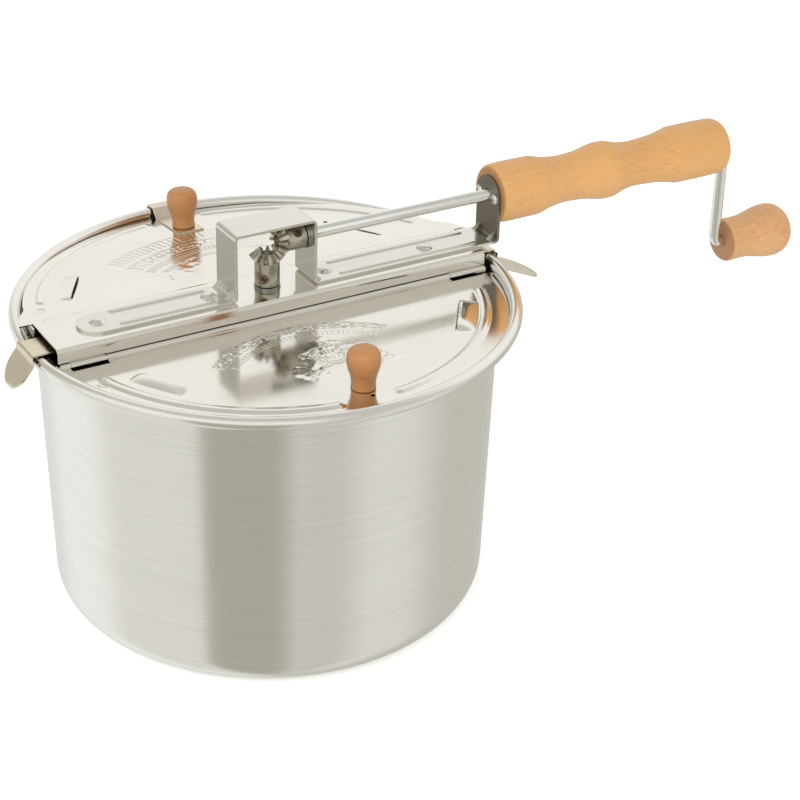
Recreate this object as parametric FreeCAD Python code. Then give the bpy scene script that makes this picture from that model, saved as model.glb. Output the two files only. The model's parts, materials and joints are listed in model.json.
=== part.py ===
import FreeCAD, Part
import math
import os
from FreeCAD import Vector

# Stovetop popcorn popper: an aluminium pot, a two-piece lid with a hinged front half, and a
# hand crank that turns a wire stirrer through a pair of bevel gears on a stamped bracket.
# Millimetres. The origin is the centre of the pot's base, +Z is up, +X runs along the handle.

# ---------------------------------------------------------------- pot
RIM_R = 127.0            # outside of the rolled rim
RIM_TOP = 160.0          # height of the pot
BEAD_R = 3.2             # outside radius of the rolled bead
POT_T = 1.2              # pot sheet
RIM_STEP = 11.9          # from the rim's outside in to the wall's outside, at the seat
WALL_DRAFT = 4.0         # how much smaller the wall is at its foot
FOOT_R = 15.6            # outside radius of the bottom corner
SEAT_DEPTH = 6.5         # from the rim's top down to the seat that holds the lid
SEAT_BEND = 3.4          # bend from the wall out to the seat
RIM_BEND = 1.3           # bend from the seat up to the bead
CURL_SWEEP = 290.0       # how far the bead is rolled, in degrees

# ---------------------------------------------------------------- lid
LID_T = 0.8              # lid sheet
LID_GAP = 0.8            # between the lid's edge and the bead
SEAT_GAP = 0.2           # between the lid and the seat
BAND_RISE = 5.0          # top of the lid's middle band above the rim
BAND_BACK_Y = 15.0       # back edge of the flat band
BACK_RISE = 2.5          # top of the lid above the seat at the very back
FLANGE_Y = -15.3         # middle of the band's front flange
FLANGE_SHORT = 1.2       # the flange's ends stop this far inside the lid's edge
FLANGE_BEND = 1.4
EAR_OVERHANG = 4.6       # how far the band's ends reach out over the bead
EAR_BACK_Y = 34.0        # where the ears run out into the round edge
EAR_ROOT = 15.0          # the ears start this far inside the lid's edge
EAR_CORNER = 5.0         # cut off the ears' front and back corners
SKIRT_START_Y = 10.0     # the skirt under the back half starts here
NOTCH_DEPTH = 4.0        # notch in the front half under each back knuckle

# ---------------------------------------------------------------- hinge
PIN_R = 0.95
PIN_CLEARANCE = 0.05
KNUCKLE_R = 1.7
HINGE_Y = -16.2
KNUCKLE_GAP = 0.3        # between neighbouring knuckles
LEFT_KNUCKLE = (-0.942, -0.788)   # back knuckles, as shares of the flange's end radius
RIGHT_KNUCKLE = (0.811, 0.988)
END_CURL = 5.0           # length of the front half's short curl at the left end

# ---------------------------------------------------------------- bracket
STRIP_W = 21.0
STRIP_T = 1.4
STRIP_BEND = 1.9
BRIDGE_HALF = 22.5       # outside of the bridge's legs
BRIDGE_CLEARANCE = 1.3   # between the gears' tips and the bridge's top
INNER_RIVET_X = 32.2
END_RIVET_IN = 36.5      # from the rim in to the end rivets
RIVET_R = 2.0
RIVET_HEAD_R = 4.3
RIVET_HEAD_H = 1.9
RIVET_TAIL_H = 1.0
PLATE_OUT = 2.0          # handle plate beyond the rim
RIB_Y = 7.0              # stiffening ribs, each side of the middle
RIB_R = 2.0
RIB_H = 0.9
RIB_MARGIN = 8.0         # from a rib's end to the rivet or bend beside it
GUSSET = 4.5             # legs of the gussets pressed into the bends
GUSSET_W = 2.6
GUSSET_SINK = 0.4        # the gussets' legs run this far into the sheet

# ---------------------------------------------------------------- crank and gears
CRANK_RISE = 23.4        # crank axis above the lid's band
ROD_R = 3.1
RUN = 0.06               # radial running clearance of the shafts in their bushes
WOOD_RUN = 0.1           # the same in wood
THROW = 60.0             # from the crank axis to the crank knob's axis
ROD_BEND = 5.0
ARM_GAP = 5.5            # from the handle's end to the crank arm's middle
TEETH = 8
GEAR_R = 7.8             # pitch radius at the outer end of the teeth
TOOTH_SHARE = 0.42       # tooth thickness as a share of the circular pitch
ADDENDUM = 0.88          # in modules
DEDENDUM = 1.15
PRESSURE_ANGLE = 25.0
FACE_SHARE = 0.42        # share of the cone that the teeth take up
GEAR_PHASE = 14.0        # turn of both gears at rest, in degrees
HUB_R = 6.3
SETSCREW_R = 2.6
SETSCREW_BORE = 1.5      # corner radius of the socket
SETSCREW_SOCKET = 1.5    # its depth
SETSCREW_SUNK = 0.4      # the setscrews' ends inside the hubs' faces
SETSCREW_SHARE = 0.8     # setscrew's place along a hub, in hub radii
SHAFT_SETSCREW_ANGLE = -132.0
CRANK_SETSCREW_ANGLE = 136.0
FLANGE_OVER_HUB = 0.3    # bush flanges beyond the gear hubs
BUSH_FLANGE_T = 1.2
BUSH_WALL = 1.4
BUSH_BELOW = 5.0         # shaft bush below the lid's band
BUSH_RING_WALL = 3.0
LEG_LIP = 0.8            # spread lip of the leg bush outside the leg
GEAR_TO_END = 3.0        # shafts stop this far short of the gears' small ends
HUB_CHAMFER = 0.5
THRUST_GAP = 0.2         # between a gear hub and its bush flange

# ---------------------------------------------------------------- wood
HANDLE_LENGTH = 147.0
HANDLE_PROFILE = ((0.0, 13.3), (1.6, 15.2), (8.0, 15.6), (20.0, 15.3), (33.0, 13.3), (44.0, 12.4),
                  (54.0, 12.9), (68.0, 15.2), (78.0, 13.4), (89.0, 12.0), (101.0, 12.7),
                  (116.0, 15.3), (131.0, 15.4), (143.0, 15.2), (146.2, 14.0), (147.0, 12.6))
HANDLE_SCREW_Y = 7.2
HANDLE_SCREW_R = 1.5
HANDLE_SCREW_HEAD_R = 2.8
HANDLE_SCREW_HEAD_H = 2.2
HANDLE_SCREW_LENGTH = 20.0
KNOB_H = 20.6
KNOB_PROFILE = ((0.0, 6.0), (2.5, 5.85), (6.0, 6.2), (10.0, 7.4), (14.0, 8.15), (17.0, 7.9),
                (19.2, 6.9), (20.2, 5.6))
KNOB_IN = 22.8           # from the lid's edge in to the knobs' axes
KNOB_SCREW_R = 1.8
KNOB_SCREW_DEPTH = 14.0
KNOB_SCREW_HEAD = (3.4, 2.4)     # radius and height
WASHER_R = 6.0
WASHER_T = 1.0
CRANK_KNOB_LENGTH = 42.5
CRANK_KNOB_PROFILE = ((0.0, 11.3), (1.2, 12.1), (8.0, 11.9), (14.0, 12.1), (21.0, 13.4),
                      (28.0, 14.8), (32.5, 15.1), (36.5, 14.4), (40.0, 12.3), (42.5, 9.0))
CRANK_KNOB_GAP = 5.5     # from the crank arm's middle to the knob
CAP_WALL = 2.3           # the cap's edge beyond the rod
CAP_RECESS = 4.0
CAP_GRIP = 0.7           # share of the recess that the rod's end stands in
CAP_CLEARANCE = 0.5

# ---------------------------------------------------------------- stirrer
SHAFT_R = 3.0
WIRE_R = 1.5
FLOOR_GAP = 1.5          # under the wires
WALL_GAP = 6.0           # from the wires' ends to the bottom corner's start
STIR_HUB_R = 6.0
STIR_HUB_H = 10.0
WIRE_BEND = 6.0
WIRE_SWEPT = 24.0        # how far each wire trails behind its arm
WIRE_RISE = 9.0
WIRE_RUN = (12.0, 26.0)  # from the hub out to the wire's first bend and down to the floor
WIRE_LEAD = 0.6          # share of the sweep over which the wire turns back
WIRE_TAIL = 12.0         # the wires' raised ends
WIRE_ROOM = 0.6          # between a wire's end and the shaft

# ---------------------------------------------------------------- clips and hook
CLIP_T = 0.8
CLIP_W = 17.0
CLIP_Y = -1.0
CLIP_ROOT = 13.0         # length of the riveted root beyond the bend line, inwards
CLIP_BEND_X = 6.8        # bend line outside the outer rivet
CLIP_DIP = 3.0           # drop from the band's underside to the leaf
BEAD_GAP = 0.6           # between the bead and what passes over it
TAB_W = 22.0
LEFT_TAB = (2.6, 52.0, 16.0)     # drop below the bead's top, slope in degrees, length
RIGHT_TAB = (8.0, 24.0, 34.0)
HOOK_W = 15.0
HOOK_TAIL = 9.0          # hook's length inside the knob's middle
HOOK_DROP = 6.0          # hook's lip below the bead's top
HOOK_FOOT = 4.5          # from the bead in to where the hook leaves the lid
HOOK_RISE = 0.5          # from the bead in to where it is level again
HOOK_CORNER = 2.0        # cut across the hook's outer bend
HOOK_BEND = 1.0
CLIP_BENDS = (0.9, 1.2, 0.9)
CLIP_SPLIT = 0.3         # gap at the bend line between root and clip

# ---------------------------------------------------------------- derived places
BEAD_MID_R = RIM_R - BEAD_R
SEAT_Z = RIM_TOP - SEAT_DEPTH
LID_R = RIM_R - 2 * BEAD_R - LID_GAP
LID_LOW = SEAT_Z + SEAT_GAP
KNOB_Y = LID_R - KNOB_IN
FLANGE_END_R = LID_R - FLANGE_SHORT
RIVET_X = (INNER_RIVET_X, RIM_R - END_RIVET_IN)
CAP_R = ROD_R + CAP_WALL
BAND_Z = RIM_TOP + BAND_RISE
BACK_Z = SEAT_Z + BACK_RISE
LID_SLOPE = (BAND_Z - BACK_Z) / (LID_R - BAND_BACK_Y)
SLOPE_DEG = math.degrees(math.atan(LID_SLOPE))
HINGE_Z = LID_LOW + KNUCKLE_R
FLANGE_X = math.sqrt(FLANGE_END_R ** 2 - FLANGE_Y ** 2)
STRIP_TOP = BAND_Z + STRIP_T
CRANK_Z = BAND_Z + CRANK_RISE
MODULE = 2 * GEAR_R / TEETH
CONE = math.cos(math.radians(45.0))
GEAR_TIP = GEAR_R + ADDENDUM * MODULE * CONE
BRIDGE_TOP = CRANK_Z + GEAR_TIP + BRIDGE_CLEARANCE + STRIP_T
PLATE_X = RIM_R + PLATE_OUT
HANDLE_X = PLATE_X + STRIP_T / 2
ARM_X = HANDLE_X + HANDLE_LENGTH + ARM_GAP
CRANK_KNOB_X = ARM_X + CRANK_KNOB_GAP
CRANK_KNOB_Z = CRANK_Z - THROW
WALL_MID_R = RIM_R - RIM_STEP - POT_T / 2
FOOT_MID_R = WALL_MID_R - WALL_DRAFT
CLIP_PIVOT_X = RIVET_X[1] + CLIP_BEND_X
BAND_LOW = BAND_Z - LID_T
BIG = 1000.0

X_AXIS = Vector(1, 0, 0)
Y_AXIS = Vector(0, 1, 0)
Z_AXIS = Vector(0, 0, 1)


# ---------------------------------------------------------------- shape helpers
def cylinder(radius, start, axis, length):
    return Part.makeCylinder(radius, length, Vector(*start), axis)


def box(low, high):
    size = [b - a for a, b in zip(low, high)]
    return Part.makeBox(size[0], size[1], size[2], Vector(*low))


def fused(shapes):
    """One solid from overlapping or touching shapes."""
    return shapes[0].multiFuse(shapes[1:]).removeSplitter()


def outward(shape):
    """The same solid with its faces pointing out."""
    if shape.Volume < 0:
        shape.reverse()
    return shape


def turned(points, smooth=False):
    """Solid of revolution about +Z from (height, radius) points, closed on the axis."""
    spots = [Vector(r, 0, h) for h, r in points]
    foot = Vector(0, 0, points[0][0])
    head = Vector(0, 0, points[-1][0])
    if smooth:
        curve = Part.BSplineCurve()
        curve.interpolate(spots)
        side = [curve.toShape()]
    else:
        side = [Part.makeLine(a, b) for a, b in zip(spots, spots[1:])]
    edges = [Part.makeLine(foot, spots[0])] + side
    edges += [Part.makeLine(spots[-1], head), Part.makeLine(head, foot)]
    face = Part.Face(Part.Wire(edges))
    return outward(face.revolve(Vector(0, 0, 0), Z_AXIS, 360))


def laid(shape, start, axis):
    """A shape made about +Z from the origin, moved so that it runs along axis from start."""
    spin = FreeCAD.Rotation(Z_AXIS, axis)
    shape.Placement = FreeCAD.Placement(Vector(*start), spin)
    return shape


def rotate2(v, degrees):
    c = math.cos(math.radians(degrees))
    s = math.sin(math.radians(degrees))
    return (v[0] * c - v[1] * s, v[0] * s + v[1] * c)


def bent_sheet_face(points, bends, thickness, curl=None):
    """Section of a bent sheet in the XZ plane.

    points are the middle line's corners, bends its bend radius at each inner corner, and
    curl an optional last (radius, sweep in degrees) that rolls the end over.
    """
    middle = []
    last = points[0]
    for before, corner, after, radius in zip(points, points[1:], points[2:], bends):
        way_in = math.atan2(corner[1] - before[1], corner[0] - before[0])
        way_out = math.atan2(after[1] - corner[1], after[0] - corner[0])
        turn = math.remainder(way_out - way_in, 2 * math.pi)
        side = math.copysign(1.0, turn)
        cut = radius * math.tan(abs(turn) / 2)
        start = (corner[0] - cut * math.cos(way_in), corner[1] - cut * math.sin(way_in))
        spoke = (radius * side * math.sin(way_in), -radius * side * math.cos(way_in))
        middle.append(("line", last, start))
        middle.append(("arc", (start[0] - spoke[0], start[1] - spoke[1]), spoke,
                       math.degrees(turn)))
        end_spoke = rotate2(spoke, math.degrees(turn))
        last = (start[0] - spoke[0] + end_spoke[0], start[1] - spoke[1] + end_spoke[1])
    middle.append(("line", last, points[-1]))
    if curl:
        radius, sweep = curl
        way = math.atan2(points[-1][1] - last[1], points[-1][0] - last[0])
        side = math.copysign(1.0, sweep)
        spoke = (radius * side * math.sin(way), -radius * side * math.cos(way))
        centre = (points[-1][0] - spoke[0], points[-1][1] - spoke[1])
        middle.append(("arc", centre, spoke, sweep))
    left, left_ends = offset_edges(middle, thickness / 2)
    right, right_ends = offset_edges(middle, -thickness / 2)
    caps = [Part.makeLine(left_ends[0], right_ends[0]), Part.makeLine(left_ends[1], right_ends[1])]
    return Part.Face(Part.Wire(Part.__sortEdges__(left + right + caps)))


def offset_edges(middle, offset):
    """Edges of a middle line moved sideways by offset, to its left where positive."""
    edges = []
    ends = []
    for piece in middle:
        if piece[0] == "line":
            (ax, az), (bx, bz) = piece[1], piece[2]
            length = math.hypot(bx - ax, bz - az)
            nx = -(bz - az) / length * offset
            nz = (bx - ax) / length * offset
            spots = [Vector(ax + nx, 0, az + nz), Vector(bx + nx, 0, bz + nz)]
            edges.append(Part.makeLine(spots[0], spots[1]))
        else:
            centre, spoke, sweep = piece[1], piece[2], piece[3]
            radius = math.hypot(spoke[0], spoke[1])
            scale = (radius - math.copysign(offset, offset * sweep)) / radius
            spots = []
            for share in (0.0, 0.5, 1.0):
                s = rotate2(spoke, sweep * share)
                spots.append(Vector(centre[0] + s[0] * scale, 0, centre[1] + s[1] * scale))
            edges.append(Part.Arc(spots[0], spots[1], spots[2]).toShape())
        ends.append(spots[0])
        ends.append(spots[-1])
    return edges, (ends[0], ends[-1])


def sheet_across_y(face, low, high):
    """A section drawn in XZ, carried along Y from low to high."""
    face.translate(Vector(0, low, 0))
    return outward(face.extrude(Vector(0, high - low, 0)))


def sheet_across_x(face, low, high):
    """A section drawn as (y, z), carried along X from low to high."""
    face.rotate(Vector(0, 0, 0), Z_AXIS, 90)
    face.translate(Vector(low, 0, 0))
    return outward(face.extrude(Vector(high - low, 0, 0)))


def round_bar(points, bend, radius):
    """Round wire along straight runs joined by arcs of one bend radius."""
    edges = []
    last = Vector(*points[0])
    for before, corner, after in zip(points, points[1:], points[2:]):
        before, corner, after = Vector(*before), Vector(*corner), Vector(*after)
        way_in = (corner - before).normalize()
        way_out = (after - corner).normalize()
        turn = way_in.getAngle(way_out)
        cut = bend * math.tan(turn / 2)
        start = corner - way_in * cut
        end = corner + way_out * cut
        inside = (way_out - way_in).normalize()
        centre = corner + inside * (bend / math.cos(turn / 2))
        edges.append(Part.makeLine(last, start))
        edges.append(Part.Arc(start, centre - inside * bend, end).toShape())
        last = end
    edges.append(Part.makeLine(last, Vector(*points[-1])))
    path = Part.Wire(edges)
    first = (Vector(*points[1]) - Vector(*points[0])).normalize()
    ring = Part.Wire(Part.makeCircle(radius, Vector(*points[0]), first))
    return outward(path.makePipeShell([ring], True, False))


def capsule_rib(x0, x1, y, top):
    """Rounded stiffening rib along X, standing RIB_H above top."""
    level = top + RIB_H - RIB_R
    parts = [cylinder(RIB_R, (x0, y, level), X_AXIS, x1 - x0)]
    for x in (x0, x1):
        parts.append(Part.makeSphere(RIB_R, Vector(x, y, level)))
    bar = fused(parts)
    return bar.common(box((x0 - BIG, y - BIG, top - STRIP_T / 2), (x1 + BIG, y + BIG, top + RIB_H)))


def gusset(x, z, side, y):
    """Wedge in an inside bend at (x, z); side is the way its foot runs along X."""
    spots = [Vector(x, 0, z), Vector(x + side * GUSSET, 0, z), Vector(x, 0, z + GUSSET)]
    face = Part.Face(Part.makePolygon(spots + spots[:1]))
    face.translate(Vector(0, y - GUSSET_W / 2, 0))
    return outward(face.extrude(Vector(0, GUSSET_W, 0)))


# ---------------------------------------------------------------- pot
def make_pot():
    level = SEAT_Z - POT_T / 2
    rim_in = BEAD_MID_R - (BEAD_R - POT_T / 2)
    draft = WALL_DRAFT / level
    points = [(0.0, POT_T / 2), (FOOT_MID_R + draft * POT_T / 2, POT_T / 2), (WALL_MID_R, level),
              (rim_in, level), (rim_in, RIM_TOP - BEAD_R)]
    bends = [FOOT_R - POT_T / 2, SEAT_BEND, RIM_BEND]
    face = bent_sheet_face(points, bends, POT_T, curl=(BEAD_R - POT_T / 2, -CURL_SWEEP))
    return outward(face.revolve(Vector(0, 0, 0), Z_AXIS, 360))


# ---------------------------------------------------------------- lid
def knuckle_spans():
    """X spans of the back knuckles and of the front half's curls."""
    back = [(FLANGE_END_R * a, FLANGE_END_R * b) for a, b in (LEFT_KNUCKLE, RIGHT_KNUCKLE)]
    front = [(back[0][1] + KNUCKLE_GAP, back[1][0] - KNUCKLE_GAP),
             (back[0][0] - KNUCKLE_GAP - END_CURL, back[0][0] - KNUCKLE_GAP)]
    return back, front


def knuckle(span):
    return cylinder(KNUCKLE_R, (span[0], HINGE_Y, HINGE_Z), X_AXIS, span[1] - span[0])


def pin_bore():
    return cylinder(PIN_R + PIN_CLEARANCE, (-BIG / 2, HINGE_Y, HINGE_Z), X_AXIS, BIG)


def roof_height(y):
    """Top of the lid's back half at y."""
    return BAND_Z - max(0.0, y - BAND_BACK_Y) * LID_SLOPE


def make_lid_rear():
    back, front = knuckle_spans()
    half = LID_T / 2
    flange_low = HINGE_Z + KNUCKLE_R + KNUCKLE_GAP
    reach = LID_R + EAR_OVERHANG
    slope = math.radians(SLOPE_DEG)
    crease_y = BAND_BACK_Y - half * math.tan(slope / 2)
    points = [(FLANGE_Y, flange_low), (FLANGE_Y, BAND_Z - half), (crease_y, BAND_Z - half),
              (reach, roof_height(reach) - half / math.cos(slope))]
    roof = sheet_across_x(bent_sheet_face(points, [FLANGE_BEND, FLANGE_BEND], LID_T), -reach, reach)
    outline = cylinder(LID_R, (0, 0, 0), Z_AXIS, BIG)
    for side in (-1, 1):
        root = LID_R - EAR_ROOT
        near = FLANGE_Y - LID_T
        ear = [(root, near), (LID_R, near), (reach, FLANGE_Y + EAR_CORNER),
               (reach, -FLANGE_Y - EAR_CORNER), (LID_R + 2, EAR_BACK_Y * 0.7),
               (LID_R - EAR_CORNER, EAR_BACK_Y), (root, EAR_BACK_Y)]
        spots = [Vector(side * x, y, 0) for x, y in ear]
        face = Part.Face(Part.makePolygon(spots + spots[:1]))
        outline = outline.fuse(outward(face.extrude(Vector(0, 0, BIG))))
    roof = roof.common(outline)
    for side in (-1, 1):
        near = side * FLANGE_X
        far = side * BIG
        end = box((min(near, far), -BIG, 0), (max(near, far), FLANGE_Y + LID_T, BAND_Z - LID_T))
        roof = roof.cut(end)
    ring = cylinder(LID_R, (0, 0, LID_LOW), Z_AXIS, BIG)
    ring = ring.cut(cylinder(LID_R - LID_T, (0, 0, 0), Z_AXIS, 2 * BIG))
    under = [Vector(0, SKIRT_START_Y, LID_LOW), Vector(0, SKIRT_START_Y, BAND_Z - half),
             Vector(0, BAND_BACK_Y, BAND_Z - half), Vector(0, reach, roof_height(reach) - half),
             Vector(0, reach, LID_LOW)]
    wedge = Part.Face(Part.makePolygon(under + under[:1]))
    wedge.translate(Vector(-BIG / 2, 0, 0))
    skirt = ring.common(outward(wedge.extrude(Vector(BIG, 0, 0))))
    parts = [roof, skirt]
    for span in back:
        parts.append(knuckle(span))
        low = (span[0], FLANGE_Y - half, HINGE_Z + PIN_R)
        parts.append(box(low, (span[1], FLANGE_Y + half, flange_low + 1)))
    lid = fused(parts).cut(pin_bore())
    for span in front:
        room = KNUCKLE_R + KNUCKLE_GAP
        clear = cylinder(room, (span[0] - KNUCKLE_GAP, HINGE_Y, HINGE_Z), X_AXIS,
                         span[1] - span[0] + 2 * KNUCKLE_GAP)
        keep = [knuckle(other) for other in back]
        lid = lid.cut(clear.cut(keep[0]).cut(keep[1]))
    holes = [cylinder(SHAFT_R + RUN + BUSH_WALL, (0, 0, 0), Z_AXIS, BIG)]
    for x in rivet_places():
        holes.append(cylinder(RIVET_R, (x, 0, 0), Z_AXIS, BIG))
    holes.append(rear_knob_hole())
    for hole in holes:
        lid = lid.cut(hole)
    return lid


def make_lid_front():
    back, front = knuckle_spans()
    sheet = cylinder(LID_R, (0, 0, LID_LOW), Z_AXIS, LID_T)
    sheet = sheet.cut(box((-BIG, HINGE_Y, 0), (BIG, BIG, BIG)))
    for span in back:
        sheet = sheet.cut(box((span[0] - KNUCKLE_GAP, HINGE_Y - NOTCH_DEPTH, 0),
                              (span[1] + KNUCKLE_GAP, BIG, BIG)))
    low_end = front[1][0]
    sheet = sheet.cut(box((-BIG, HINGE_Y - NOTCH_DEPTH, 0), (low_end, BIG, BIG)))
    sheet = sheet.cut(box((back[1][1], HINGE_Y - NOTCH_DEPTH, 0), (BIG, BIG, BIG)))
    lid = fused([sheet] + [knuckle(span) for span in front]).cut(pin_bore())
    return lid.cut(cylinder(KNOB_SCREW_R, (0, -KNOB_Y, 0), Z_AXIS, BIG))


def make_hinge_pin():
    back, front = knuckle_spans()
    start = front[1][0] - KNUCKLE_GAP
    end = back[1][1] + KNUCKLE_GAP
    pin = cylinder(PIN_R, (start, HINGE_Y, HINGE_Z), X_AXIS, end - start)
    return pin


# ---------------------------------------------------------------- bracket
def rivet_places():
    return [side * x for side in (-1, 1) for x in RIVET_X]


def make_bracket():
    level = BAND_Z + STRIP_T / 2
    leg = BRIDGE_HALF - STRIP_T / 2
    top = BRIDGE_TOP - STRIP_T / 2
    half = STRIP_W / 2
    left_end = -(RIVET_X[1] + half)
    plate_top = CRANK_Z + half
    points = [(left_end, level), (-leg, level), (-leg, top), (leg, top), (leg, level),
              (PLATE_X, level), (PLATE_X, plate_top)]
    strip = sheet_across_y(bent_sheet_face(points, [STRIP_BEND] * 5, STRIP_T), -half, half)
    corner = box((left_end - 1, -half - 1, BAND_Z - 1), (-RIVET_X[1], half + 1, STRIP_TOP + 1))
    strip = strip.cut(corner.cut(cylinder(half, (-RIVET_X[1], 0, BAND_Z - 2), Z_AXIS, STRIP_T + 4)))
    corner = box((PLATE_X - STRIP_T, -half - 1, CRANK_Z), (PLATE_X + STRIP_T, half + 1, plate_top + 1))
    strip = strip.cut(corner.cut(cylinder(half, (PLATE_X - 2 * STRIP_T, 0, CRANK_Z), X_AXIS, 4 * STRIP_T)))
    parts = [strip]
    plate_in = PLATE_X - STRIP_T / 2
    runs = [(-RIVET_X[1] + RIB_MARGIN + RIB_R, -BRIDGE_HALF - RIB_MARGIN - RIB_R),
            (BRIDGE_HALF + 2 * RIB_MARGIN, plate_in - RIB_MARGIN - GUSSET)]
    for y in (-RIB_Y, RIB_Y):
        for x0, x1 in runs:
            parts.append(capsule_rib(x0, x1, y, STRIP_TOP))
        for x, side in ((-BRIDGE_HALF, -1), (BRIDGE_HALF, 1), (plate_in, -1)):
            corner_x = x - side * GUSSET_SINK
            parts.append(gusset(corner_x, STRIP_TOP - GUSSET_SINK, side, y))
    strip = fused(parts)
    for x in rivet_places():
        strip = strip.cut(cylinder(RIVET_R, (x, 0, 0), Z_AXIS, STRIP_TOP + RIB_H))
    bush_r = ROD_R + RUN + BUSH_WALL
    strip = strip.cut(cylinder(bush_r, (BRIDGE_HALF - 2 * STRIP_T, 0, CRANK_Z), X_AXIS, 4 * STRIP_T))
    strip = strip.cut(cylinder(ROD_R + 4 * RUN, (plate_in - 1, 0, CRANK_Z), X_AXIS, STRIP_T + 2))
    for y in (-HANDLE_SCREW_Y, HANDLE_SCREW_Y):
        strip = strip.cut(cylinder(HANDLE_SCREW_R, (plate_in - 1, y, CRANK_Z), X_AXIS, STRIP_T + 2))
    return strip


def dome(radius, height):
    """Spherical cap of the given rim radius and height, flat side down at the origin."""
    ball = (radius ** 2 + height ** 2) / (2 * height)
    cap = Part.makeSphere(ball, Vector(0, 0, height - ball))
    return cap.common(box((-radius - 1, -radius - 1, 0), (radius + 1, radius + 1, height + 1)))


def make_rivet(x, grip_low):
    """Domed rivet through the strip, with its tail spread under grip_low."""
    head = laid(dome(RIVET_HEAD_R, RIVET_HEAD_H), (x, 0, STRIP_TOP), Z_AXIS)
    shank = cylinder(RIVET_R, (x, 0, grip_low - RIVET_TAIL_H), Z_AXIS,
                     STRIP_TOP + RIVET_HEAD_H / 2 - grip_low + RIVET_TAIL_H)
    tail = cylinder(RIVET_R * 1.6, (x, 0, grip_low - RIVET_TAIL_H), Z_AXIS, RIVET_TAIL_H)
    return fused([head, shank, tail])


def make_rivets(x, grip_low):
    return Part.makeCompound([make_rivet(-x, grip_low), make_rivet(x, grip_low)])


def make_shaft_bush():
    flange = cylinder(HUB_R + FLANGE_OVER_HUB, (0, 0, BAND_Z), Z_AXIS, BUSH_FLANGE_T)
    body = cylinder(SHAFT_R + RUN + BUSH_WALL, (0, 0, BAND_LOW - BUSH_BELOW), Z_AXIS,
                    BUSH_BELOW + LID_T + BUSH_FLANGE_T)
    return fused([flange, body]).cut(cylinder(SHAFT_R + RUN, (0, 0, 0), Z_AXIS, BIG))


def make_bush_ring():
    outside = SHAFT_R + RUN + BUSH_WALL
    ring = cylinder(outside + BUSH_RING_WALL, (0, 0, BAND_LOW - BUSH_FLANGE_T), Z_AXIS, BUSH_FLANGE_T)
    return ring.cut(cylinder(outside, (0, 0, 0), Z_AXIS, BIG))


def make_leg_bush():
    inner = BRIDGE_HALF - STRIP_T
    outside = ROD_R + RUN + BUSH_WALL
    flange = cylinder(HUB_R + FLANGE_OVER_HUB, (inner - BUSH_FLANGE_T, 0, CRANK_Z), X_AXIS, BUSH_FLANGE_T)
    body = cylinder(outside, (inner - BUSH_FLANGE_T, 0, CRANK_Z), X_AXIS, BUSH_FLANGE_T + 2 * STRIP_T)
    lip = cylinder(outside + LEG_LIP, (BRIDGE_HALF, 0, CRANK_Z), X_AXIS, STRIP_T)
    return fused([flange, body, lip]).cut(cylinder(ROD_R + RUN, (0, 0, CRANK_Z), X_AXIS, BIG))


# ---------------------------------------------------------------- gears
def tooth_outline():
    """Half of one tooth as (across, up) points from tip to root, on the back cone's plane.

    The flanks are involutes of the equivalent spur gear, whose pitch radius is the
    cone's back distance.
    """
    pitch = GEAR_R / CONE
    alpha = math.radians(PRESSURE_ANGLE)
    base = pitch * math.cos(alpha)
    tip = pitch + ADDENDUM * MODULE
    root = pitch - DEDENDUM * MODULE
    half_angle = TOOTH_SHARE * math.pi * MODULE / (2 * pitch)
    spots = []
    steps = 5
    for i in range(steps + 1):
        radius = tip - (tip - base) * i / steps
        pressure = math.acos(min(1.0, base / radius))
        spread = (math.tan(alpha) - alpha) - (math.tan(pressure) - pressure)
        angle = half_angle + spread
        spots.append((radius * math.sin(angle), radius * math.cos(angle) - pitch))
    angle = half_angle + math.tan(alpha) - alpha
    sunk = root - 0.5 * MODULE
    spots.append((sunk * math.sin(angle), sunk * math.cos(angle) - pitch))
    return spots


def make_tooth():
    """One tooth of a bevel gear whose apex is at the origin and whose body lies towards -Z."""
    half = tooth_outline()
    outline = half + [(-a, up) for a, up in reversed(half)]
    heel = []
    for across, up in outline:
        heel.append(Vector(GEAR_R + up * CONE, across, -GEAR_R + up * CONE))
    wires = []
    for scale in (1.0, 1.0 - FACE_SHARE):
        spots = [spot * scale for spot in heel]
        wires.append(Part.makePolygon(spots + spots[:1]))
    return outward(Part.makeLoft(wires, True, True))


def make_bevel_gear(hub_length, bore, phase):
    """Bevel gear about Z with its apex at the origin, its hub running down to -hub_length."""
    root_up = -DEDENDUM * MODULE * CONE
    toe = 1.0 - FACE_SHARE
    heel_r = GEAR_R + root_up
    heel_z = -GEAR_R + root_up
    back_z = heel_z - (heel_r - HUB_R) if heel_r > HUB_R else heel_z - 1.0
    profile = [(-hub_length, HUB_R - HUB_CHAMFER), (-hub_length + HUB_CHAMFER, HUB_R), (back_z, HUB_R),
               (heel_z, heel_r), (heel_z * toe, heel_r * toe)]
    teeth = []
    for i in range(TEETH):
        tooth = make_tooth()
        tooth.rotate(Vector(0, 0, 0), Z_AXIS, phase + 360.0 / TEETH * i)
        teeth.append(tooth)
    gear = fused([turned(profile)] + teeth)
    trim = cylinder(GEAR_TIP + 1, (0, 0, -hub_length), Z_AXIS, hub_length)
    gear = gear.common(trim)
    return gear.cut(cylinder(bore, (0, 0, -hub_length - 1), Z_AXIS, hub_length + 1))


def shaft_gear_low():
    return BAND_Z + BUSH_FLANGE_T + THRUST_GAP


def shaft_hub_length():
    return CRANK_Z - shaft_gear_low()


def crank_hub_length():
    return BRIDGE_HALF - STRIP_T - BUSH_FLANGE_T - THRUST_GAP


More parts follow.
